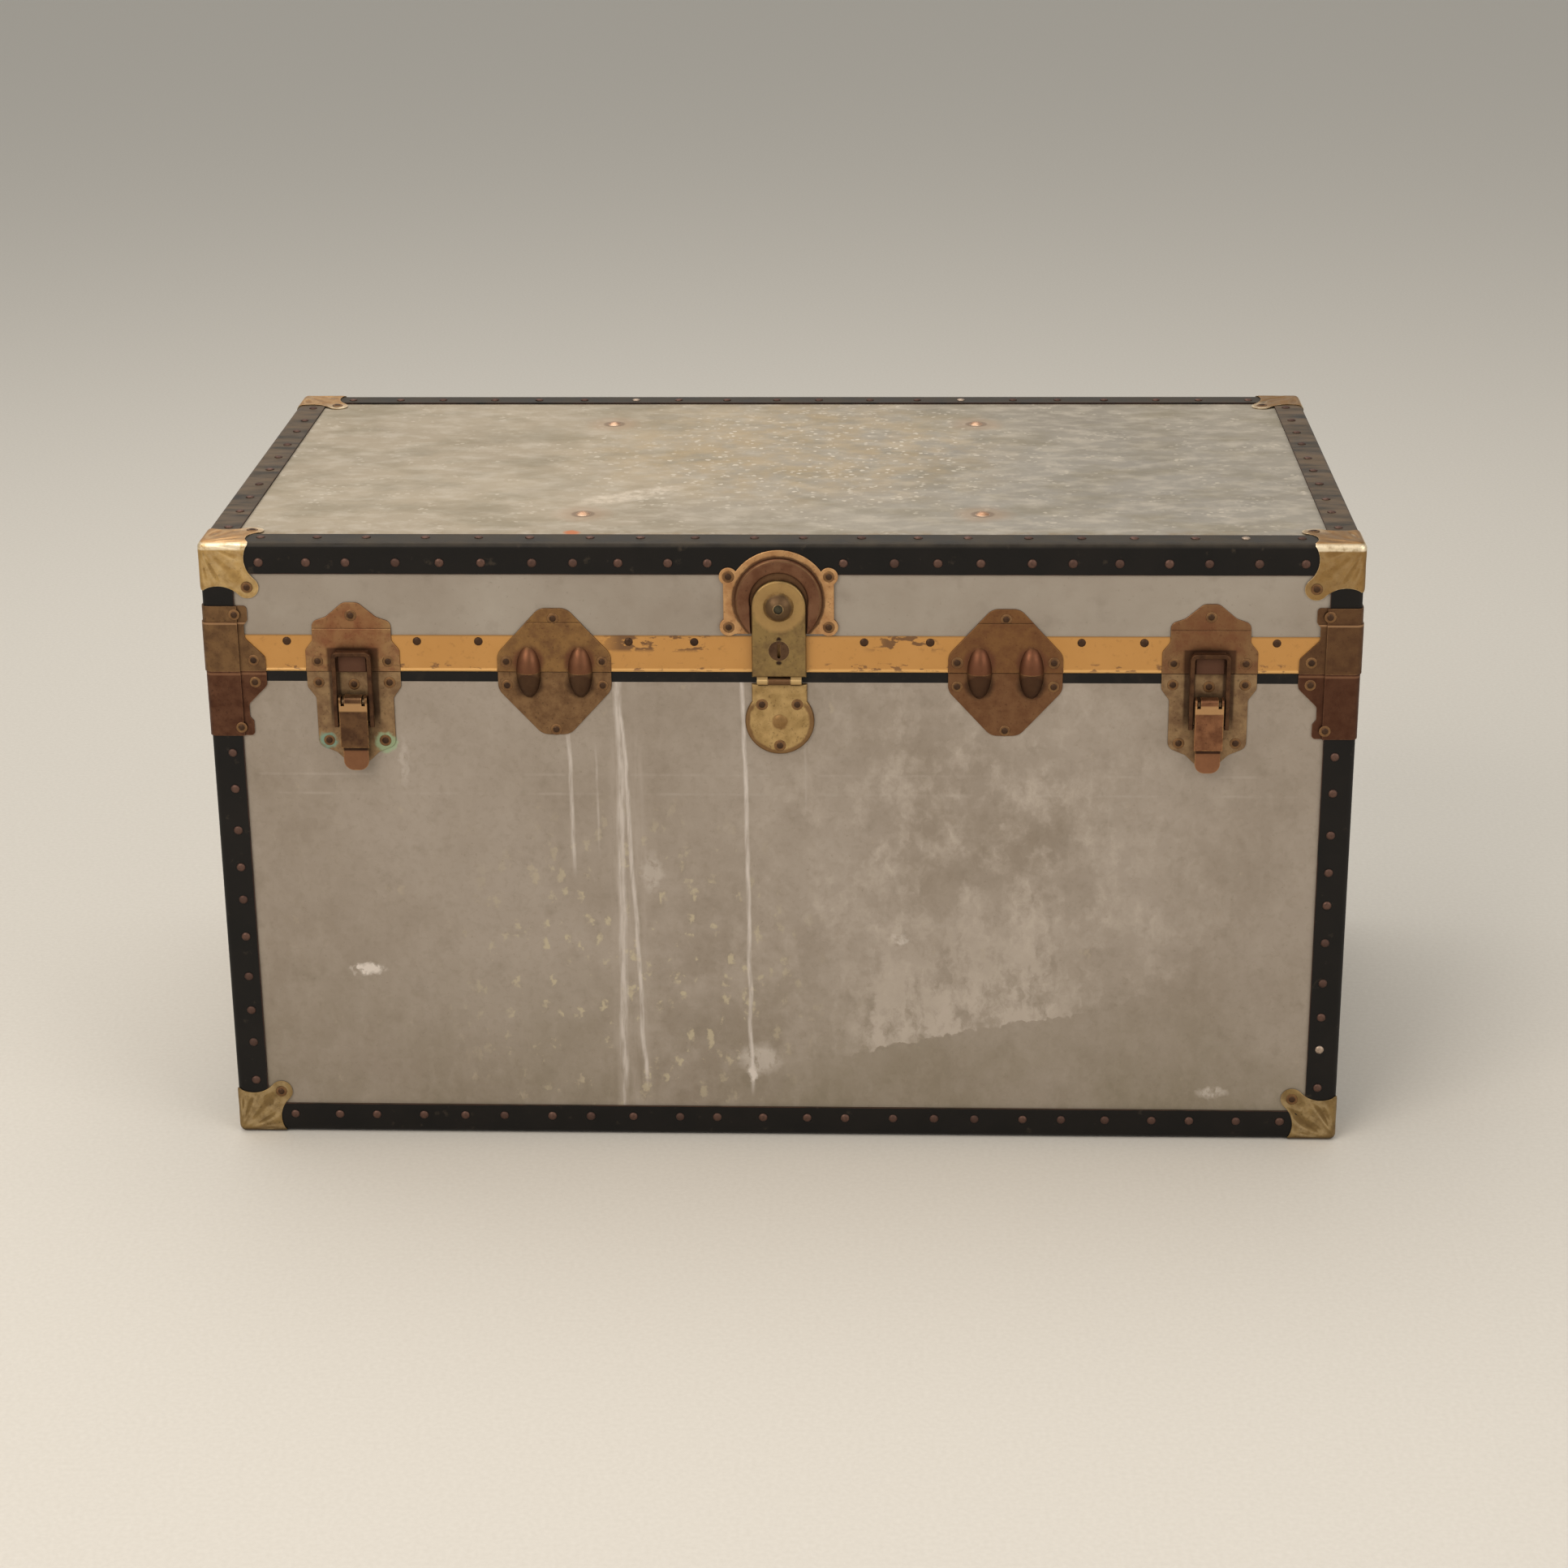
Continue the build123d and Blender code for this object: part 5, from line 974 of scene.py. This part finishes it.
# Lid rivets: soft copper, clenched through the lid's top and the battens under it. They stay
# paler and shinier than the plated fittings.
finish_nodes(pressed_metal("soft_copper_rivet", "#c6a68c", "#ab8468", "#5a4030", "#ead2b8", rough=(0.3, 0.5)),
             "lid_rivets")


# End handles: a strap of bridle leather, bowed out from each end and stitched along both edges,
# with its ends under pressed steel caps. Hands have darkened and polished its middle.
STRAP_HEIGHT = 0.250
STRAP_HALF_WIDTH = 0.014
STRAP_THICK = 0.005
STRAP_WALL = 0.4544
STRAP_OUT = 0.024
STRAP_STEPS = 8
CROWN = 0.0009
STITCH_INSET = 0.0036
STITCH_PITCH = 0.0048
STITCH_GROOVE = 0.0005
STRAP_LIE = 0.0025
STRAP_BEND = 0.046
STRAP_BEND_REACH = 0.011
STRAP_MIDDLE_STEPS = 12
# The strap's corners: its place along the end wall, and the reach from the wall to its middle
STRAP_CORNERS = (
    (-0.096, STRAP_LIE), (-0.066, STRAP_LIE), (-STRAP_BEND, STRAP_OUT + 0.0016),
    (STRAP_BEND, STRAP_OUT + 0.0016), (0.066, STRAP_LIE), (0.096, STRAP_LIE),
)
CAPPED_FROM = 0.086
CROWN_ENDS = 0.064
CROWN_RUN = 0.02


def strap_path():
    """Points along the strap's middle, with rounded bends."""
    points = [Vector(STRAP_CORNERS[0])]
    for before, bend, after in zip(STRAP_CORNERS, STRAP_CORNERS[1:], STRAP_CORNERS[2:]):
        starts_middle = bend[0] == -STRAP_BEND
        before, bend, after = Vector(before), Vector(bend), Vector(after)
        come = bend + (before - bend).normalized() * STRAP_BEND_REACH
        leave = bend + (after - bend).normalized() * STRAP_BEND_REACH
        for step in range(STRAP_STEPS + 1):
            t = step / STRAP_STEPS
            points.append(come * (1 - t) ** 2 + bend * 2 * t * (1 - t) + leave * t ** 2)
        if starts_middle:
            far = Vector((-leave.x, leave.y))
            points += [leave.lerp(far, step / STRAP_MIDDLE_STEPS) for step in range(1, STRAP_MIDDLE_STEPS)]
    points.append(Vector(STRAP_CORNERS[-1]))
    return points


def crowned(point):
    """How far the strap is crowned at a point of its path: 0 flat under the caps to 1 in the middle."""
    return max(0.0, min(1.0, (CROWN_ENDS - abs(point.x)) / CROWN_RUN))


def strap_section(arch):
    """The strap's outline across its width, as pairs of place and height. arch is 0 flat to 1 crowned."""
    half = STRAP_THICK / 2
    across = [0.0, 0.0035, 0.0068, 0.0094, 0.0100, 0.0104, 0.0108, 0.0113, 0.0122, 0.0132, 0.0138]
    outer = []
    for at in across:
        groove = STITCH_GROOVE * math.exp(-((at - STRAP_HALF_WIDTH + STITCH_INSET) / 0.0005) ** 2)
        rounding = max(0.0, at - 0.0122) ** 2 * 520
        height = half + CROWN * arch * math.cos(at / STRAP_HALF_WIDTH * math.pi / 2)
        outer.append((at, height - groove - rounding))
    inner = [(0.0136, -half * 0.62), (0.0130, -half * 0.88), (0.0120, -half), (0.0060, -half), (0.0, -half)]
    side = outer + [(STRAP_HALF_WIDTH, 0.0)] + inner
    other = [(-at, height) for at, height in reversed(side[1:-1])]
    return side + other


def strap_frames():
    """For each point of the strap's path: the point, its direction and its outward normal."""
    points = strap_path()
    frames = []
    for i, point in enumerate(points):
        ahead_point, behind_point = points[min(i + 1, len(points) - 1)], points[max(i - 1, 0)]
        along = (ahead_point - behind_point).normalized()
        frames.append((point, along, Vector((-along.y, along.x))))
    return frames


def on_end(side, point, height=0.0):
    """A point of the strap's path in the case's frame, at the left end (-1) or the right end (1)."""
    return Vector((side * (STRAP_WALL + point.y), point.x, STRAP_HEIGHT + height))


frames = strap_frames()
shell = bmesh.new()
for side in (-1, 1):
    rings = []
    for point, along, normal in frames:
        rings.append([
            shell.verts.new(on_end(side, point + normal * height, across))
            for across, height in strap_section(crowned(point))
        ])
    skinned(shell, rings, closed=True)
straps = meshed("leather_straps", shell)
straps.data.shade_smooth()
smoothing = straps.modifiers.new("smoothing", "SUBSURF")
smoothing.levels = smoothing.render_levels = 1
straps = settle(straps, "leather_straps")

leather, tree = new_material("bridle_leather")
place = put(tree, "ShaderNodeTexCoord").outputs["Object"]
pores = put(tree, "ShaderNodeTexVoronoi", {
    "Vector": wandering(tree, place, 0.004, 0.002), "Scale": 750.0}).outputs["Distance"]
creases = put(tree, "ShaderNodeTexVoronoi", {
    "Vector": wandering(tree, place, 0.012, 0.010), "Scale": 160.0}, feature="DISTANCE_TO_EDGE")
creases = shared(tree, (creases.outputs["Distance"], 0.0, 0.08))
middle = put(tree, "ShaderNodeSeparateXYZ", {"Vector": place}).outputs["Y"]
handled = between(tree, middle, -0.03, 0.03, 0.03)
leather_colour = coated(
    tree, linear("#5f3c22"),
    (patches(tree, place, 0.02, 0.35, 0.7, 6.0), "#4b2e1a"),
    (handled, patches(tree, place, 0.03, 0.2, 0.7), 0.6, "#3a2416"),
    (patches(tree, place, 0.006, 0.6, 0.7), 0.4, "#7a5433"),
    (worn_edges(tree, 0.002, 0.97, 0.75), 0.6, "#2a1a10"),
)
surface(tree, leather_colour, uneven(tree, place, 0.02, 0.38, 0.58),
        [(pores, 0.35, 0.0003), (creases, 0.3, 0.0004)], {"Specular IOR Level": 0.45})
straps.data.materials.append(leather)
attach(straps, "base")
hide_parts("handle_straps")

finish_nodes(pressed_metal("coppered_handle_cap", "#7d5a3c", "#66462d", "#33221a", "#a98259"), "handle_caps")


def studs_tree():
    """Geometry Nodes that set a flat-bottomed oval stud at every point, square to its outward attribute."""
    tree = bpy.data.node_groups.new("studs_on_points", "GeometryNodeTree")
    sockets = {}
    for name, kind, default in (
        ("Points", "NodeSocketGeometry", None), ("Length", "NodeSocketFloat", 0.006),
        ("Width", "NodeSocketFloat", 0.006), ("Height", "NodeSocketFloat", 0.001),
        ("Segments", "NodeSocketInt", 12), ("Rings", "NodeSocketInt", 6), ("Lean", "NodeSocketFloat", 0.05),
        ("Unevenness", "NodeSocketFloat", 0.05), ("Seed", "NodeSocketInt", 1),
        ("Finish", "NodeSocketMaterial", None),
    ):
        socket = tree.interface.new_socket(name=name, in_out="INPUT", socket_type=kind)
        if default is not None:
            socket.default_value = default
        sockets[name] = socket.identifier
    tree.interface.new_socket(name="Studs", in_out="OUTPUT", socket_type="NodeSocketGeometry")
    given = put(tree, "NodeGroupInput").outputs
    ball = put(tree, "GeometryNodeMeshUVSphere", {
        "Segments": given["Segments"], "Rings": given["Rings"], "Radius": 0.5})
    at = put(tree, "GeometryNodeInputPosition").outputs["Position"]
    x, y, z = put(tree, "ShaderNodeSeparateXYZ", {"Vector": at}).outputs
    tall = put(tree, "ShaderNodeMath", {0: z, 1: given["Height"]}, operation="MULTIPLY").outputs[0]
    tall = put(tree, "ShaderNodeMath", {0: tall, 1: 2.0}, operation="MULTIPLY").outputs[0]
    flat = put(tree, "ShaderNodeMath", {0: tall, 1: 0.12}, operation="MULTIPLY").outputs[0]
    tall = put(tree, "ShaderNodeMath", {0: tall, 1: flat}, operation="MAXIMUM").outputs[0]
    long = put(tree, "ShaderNodeMath", {0: x, 1: given["Length"]}, operation="MULTIPLY").outputs[0]
    wide = put(tree, "ShaderNodeMath", {0: y, 1: given["Width"]}, operation="MULTIPLY").outputs[0]
    shaped = put(tree, "GeometryNodeSetPosition", {
        "Geometry": ball.outputs["Mesh"],
        "Position": put(tree, "ShaderNodeCombineXYZ", {"X": long, "Y": wide, "Z": tall}).outputs["Vector"]})
    outward, along = (
        put(tree, "GeometryNodeInputNamedAttribute", {"Name": name}, data_type="FLOAT_VECTOR").outputs[0]
        for name in ("outward", "along"))
    square = put(tree, "FunctionNodeAlignRotationToVector", {"Vector": outward}, axis="Z")
    turned = put(tree, "FunctionNodeAlignRotationToVector", {
        "Rotation": square.outputs["Rotation"], "Vector": along}, axis="X", pivot_axis="Z")
    backward = put(tree, "ShaderNodeMath", {0: given["Lean"], 1: -1.0}, operation="MULTIPLY").outputs[0]
    lean = put(tree, "FunctionNodeRandomValue", data_type="FLOAT_VECTOR")
    tree.links.new(backward, lean.inputs[0])
    tree.links.new(given["Lean"], lean.inputs[1])
    tree.links.new(given["Seed"], lean.inputs["Seed"])
    leaning = put(tree, "FunctionNodeRotateRotation", {
        "Rotation": turned.outputs["Rotation"],
        "Rotate By": put(tree, "FunctionNodeEulerToRotation", {"Euler": lean.outputs[0]}).outputs["Rotation"]},
        rotation_space="LOCAL")
    smallest = put(tree, "ShaderNodeMath", {0: 1.0, 1: given["Unevenness"]}, operation="SUBTRACT").outputs[0]
    size = put(tree, "FunctionNodeRandomValue", data_type="FLOAT")
    tree.links.new(smallest, size.inputs[2])
    size.inputs[3].default_value = 1.0
    size_seed = put(tree, "ShaderNodeMath", {0: given["Seed"], 1: 7.0}, operation="ADD")
    tree.links.new(size_seed.outputs[0], size.inputs["Seed"])
    placed = put(tree, "GeometryNodeInstanceOnPoints", {
        "Points": given["Points"], "Instance": shaped.outputs["Geometry"],
        "Rotation": leaning.outputs["Rotation"], "Scale": size.outputs[1]})
    tone = put(tree, "FunctionNodeRandomValue", data_type="FLOAT")
    tone_seed = put(tree, "ShaderNodeMath", {0: given["Seed"], 1: 3.0}, operation="ADD")
    tree.links.new(tone_seed.outputs[0], tone.inputs["Seed"])
    marked = put(tree, "GeometryNodeStoreNamedAttribute", {
        "Geometry": placed.outputs["Instances"], "Name": "stud_tone", "Value": tone.outputs[1]},
        data_type="FLOAT", domain="INSTANCE")
    real = put(tree, "GeometryNodeRealizeInstances", {"Geometry": marked.outputs["Geometry"]})
    smooth = put(tree, "GeometryNodeSetShadeSmooth", {"Geometry": real.outputs["Geometry"]})
    finished = put(tree, "GeometryNodeSetMaterial", {
        "Geometry": smooth.outputs["Geometry"], "Material": given["Finish"]})
    put(tree, "NodeGroupOutput", {"Studs": finished.outputs["Geometry"]})
    return tree, sockets


studs, stud_sockets = studs_tree()


def studded(name, points, body, slot, **sizes):
    """Studs at the points, each given by its place, its outward direction and the way its length runs."""
    mesh = bpy.data.meshes.new(name)
    mesh.from_pydata([point[0] for point in points], [], [])
    for attribute, index in (("outward", 1), ("along", 2)):
        layer = mesh.attributes.new(attribute, "FLOAT_VECTOR", "POINT")
        layer.data.foreach_set("vector", [value for point in points for value in point[index]])
    made = mesh_object(name, mesh)
    modifier = made.modifiers.new("studs", "NODES")
    modifier.node_group = studs
    for size, value in sizes.items():
        modifier[stud_sockets[size]] = value
    made = settle(made, name)
    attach(made, body)
    return made


thread, tree = new_material("waxed_linen_thread")
place = put(tree, "ShaderNodeTexCoord").outputs["Object"]
strands = put(tree, "ShaderNodeTexNoise", {"Vector": place, "Scale": 2500.0}).outputs["Fac"]
surface(tree, coated(tree, linear("#a58d62"), (patches(tree, place, 0.01, 0.35, 0.7), "#6f5a3b")), 0.7,
        [(strands, 0.3, 0.0002)])

stitches = []
travelled = 0.0
due = STITCH_PITCH / 2
for (point, along, normal), (following, _, _) in zip(frames, frames[1:]):
    span = (following - point).length
    while due <= travelled + span:
        spot = point.lerp(following, (due - travelled) / span)
        due += STITCH_PITCH
        if abs(spot.x) > CAPPED_FROM:
            continue
        inset = STRAP_HALF_WIDTH - STITCH_INSET
        lift = STRAP_THICK / 2 - STITCH_GROOVE * 0.8
        lift += CROWN * crowned(spot) * math.cos(inset / STRAP_HALF_WIDTH * math.pi / 2)
        for side in (-1, 1):
            for across in (-inset, inset):
                for face, height in ((1, lift), (-1, STRAP_THICK / 2)):
                    if face == -1 and abs(spot.x) > 0.05:
                        continue
                    stitches.append((
                        on_end(side, spot + normal * face * height, across),
                        Vector((side * normal.y * face, normal.x * face, 0)),
                        Vector((side * along.y, along.x, 0)),
                    ))
    travelled += span
studded("handle_stitches", stitches, "base", "strap_leather", Length=0.0036, Width=0.0009, Height=0.0006,
        Segments=8, Rings=4, Lean=0.03, Unevenness=0.1, Seed=11, Finish=thread)


# Nails: domed steel nails, coppered, driven by hand along the bindings and through every
# fitting. They lean and wear a little differently: most are dull brown, and a few are bright.
def nail_steel(name, dull, dark, bright, bright_share):
    """Coppered steel whose wear differs from nail to nail. A share of the nails is bright."""
    material, tree = new_material(name)
    place = put(tree, "ShaderNodeTexCoord").outputs["Object"]
    tone = put(tree, "ShaderNodeAttribute", attribute_name="stud_tone").outputs["Fac"]
    is_bright = shared(tree, (tone, 1 - bright_share, 1 - bright_share + 0.02))
    is_dark = shared(tree, (tone, 0.5, 0.0))
    open_sky = put(tree, "ShaderNodeAmbientOcclusion", {"Distance": 0.003}, samples=4).outputs["AO"]
    # The last coat is painted shade where the nail meets the surface, from ambient occlusion.
    colour = coated(
        tree, linear(dull), (is_dark, 0.6, dark), (is_bright, 0.8, bright),
        (patches(tree, place, 0.003, 0.5, 0.65), 0.5, dark), ((open_sky, 0.85, 0.5), 0.35, "#1d1511"))
    rough = put(tree, "ShaderNodeMapRange", {"Value": tone, "To Min": 0.62, "To Max": 0.45}).outputs["Result"]
    surface(tree, colour, rough, [(patches(tree, place, 0.0012, 0.3, 0.7), 0.2, 0.0002)], {"Metallic": 0.7})
    return material


def nail_places(node):
    """The foot of each nail of a CAD node, the direction it stands out in, one square to it, and its radius."""
    work = bmesh.new()
    work.from_mesh(nodes[node].data)
    bmesh.ops.remove_doubles(work, verts=work.verts, dist=1e-7)
    left = set(work.faces)
    places = []
    while left:
        front, island = [left.pop()], []
        while front:
            face = front.pop()
            island.append(face)
            for edge in face.edges:
                for near in edge.link_faces:
                    if near in left:
                        left.remove(near)
                        front.append(near)
        areas = {}
        for face in island:
            key = tuple(round(value, 2) for value in face.normal)
            areas[key] = areas.get(key, 0.0) + face.calc_area()
        foot_key = max(areas, key=areas.get)
        foot = [face for face in island if tuple(round(value, 2) for value in face.normal) == foot_key]
        corners = {vertex for face in foot for vertex in face.verts}
        centre = sum((vertex.co for vertex in corners), Vector()) / len(corners)
        outward = -Vector(foot_key).normalized()
        radius = math.sqrt(areas[foot_key] / math.pi)
        places.append((centre, outward, outward.orthogonal().normalized(), radius))
    work.free()
    return sorted(places, key=lambda nail: tuple(round(value, 4) for value in nail[0]))


COLLAR = 0.0098
COLLARED_UNDER = 0.0028  # only the smaller of the fittings' nails have a collar
collar = pressed_metal("pressed_collar", "#80603f", "#694b33", "#35241a", "#96714d")
binding_nail = nail_steel("coppered_binding_nail", "#5f463c", "#41302a", "#bca996", 0.03)
fitting_nail = nail_steel("browned_fitting_nail", "#46301f", "#2c1d14", "#6f523a", 0.04)
for body in ("base", "lid"):
    for kind, spread, height, finish, seed in (
            ("binding", 1.18, 0.00140, binding_nail, 5), ("fitting", 1.2, 0.0010, fitting_nail, 23)):
        node = f"{body}_{kind}_nails"
        found = nail_places(node)
        pieces = []
        for radius in sorted({round(nail[3], 4) for nail in found}):
            chosen = [nail for nail in found if round(nail[3], 4) == radius]
            across = radius * 2 * spread
            pieces.append(studded(
                f"{node}_{round(radius * 10000)}", chosen, body, "copper_nail", Length=across, Width=across,
                Height=height, Segments=12, Rings=6, Lean=0.06, Unevenness=0.06, Seed=seed, Finish=finish))
            if kind == "fitting" and radius < COLLARED_UNDER:
                pieces.append(studded(
                    f"{node}_collars", chosen, body, "copper_nail", Length=COLLAR, Width=COLLAR,
                    Height=0.00045, Segments=16, Rings=8, Lean=0.01, Unevenness=0.08, Seed=seed, Finish=collar))
        for piece in pieces:
            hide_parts(node)
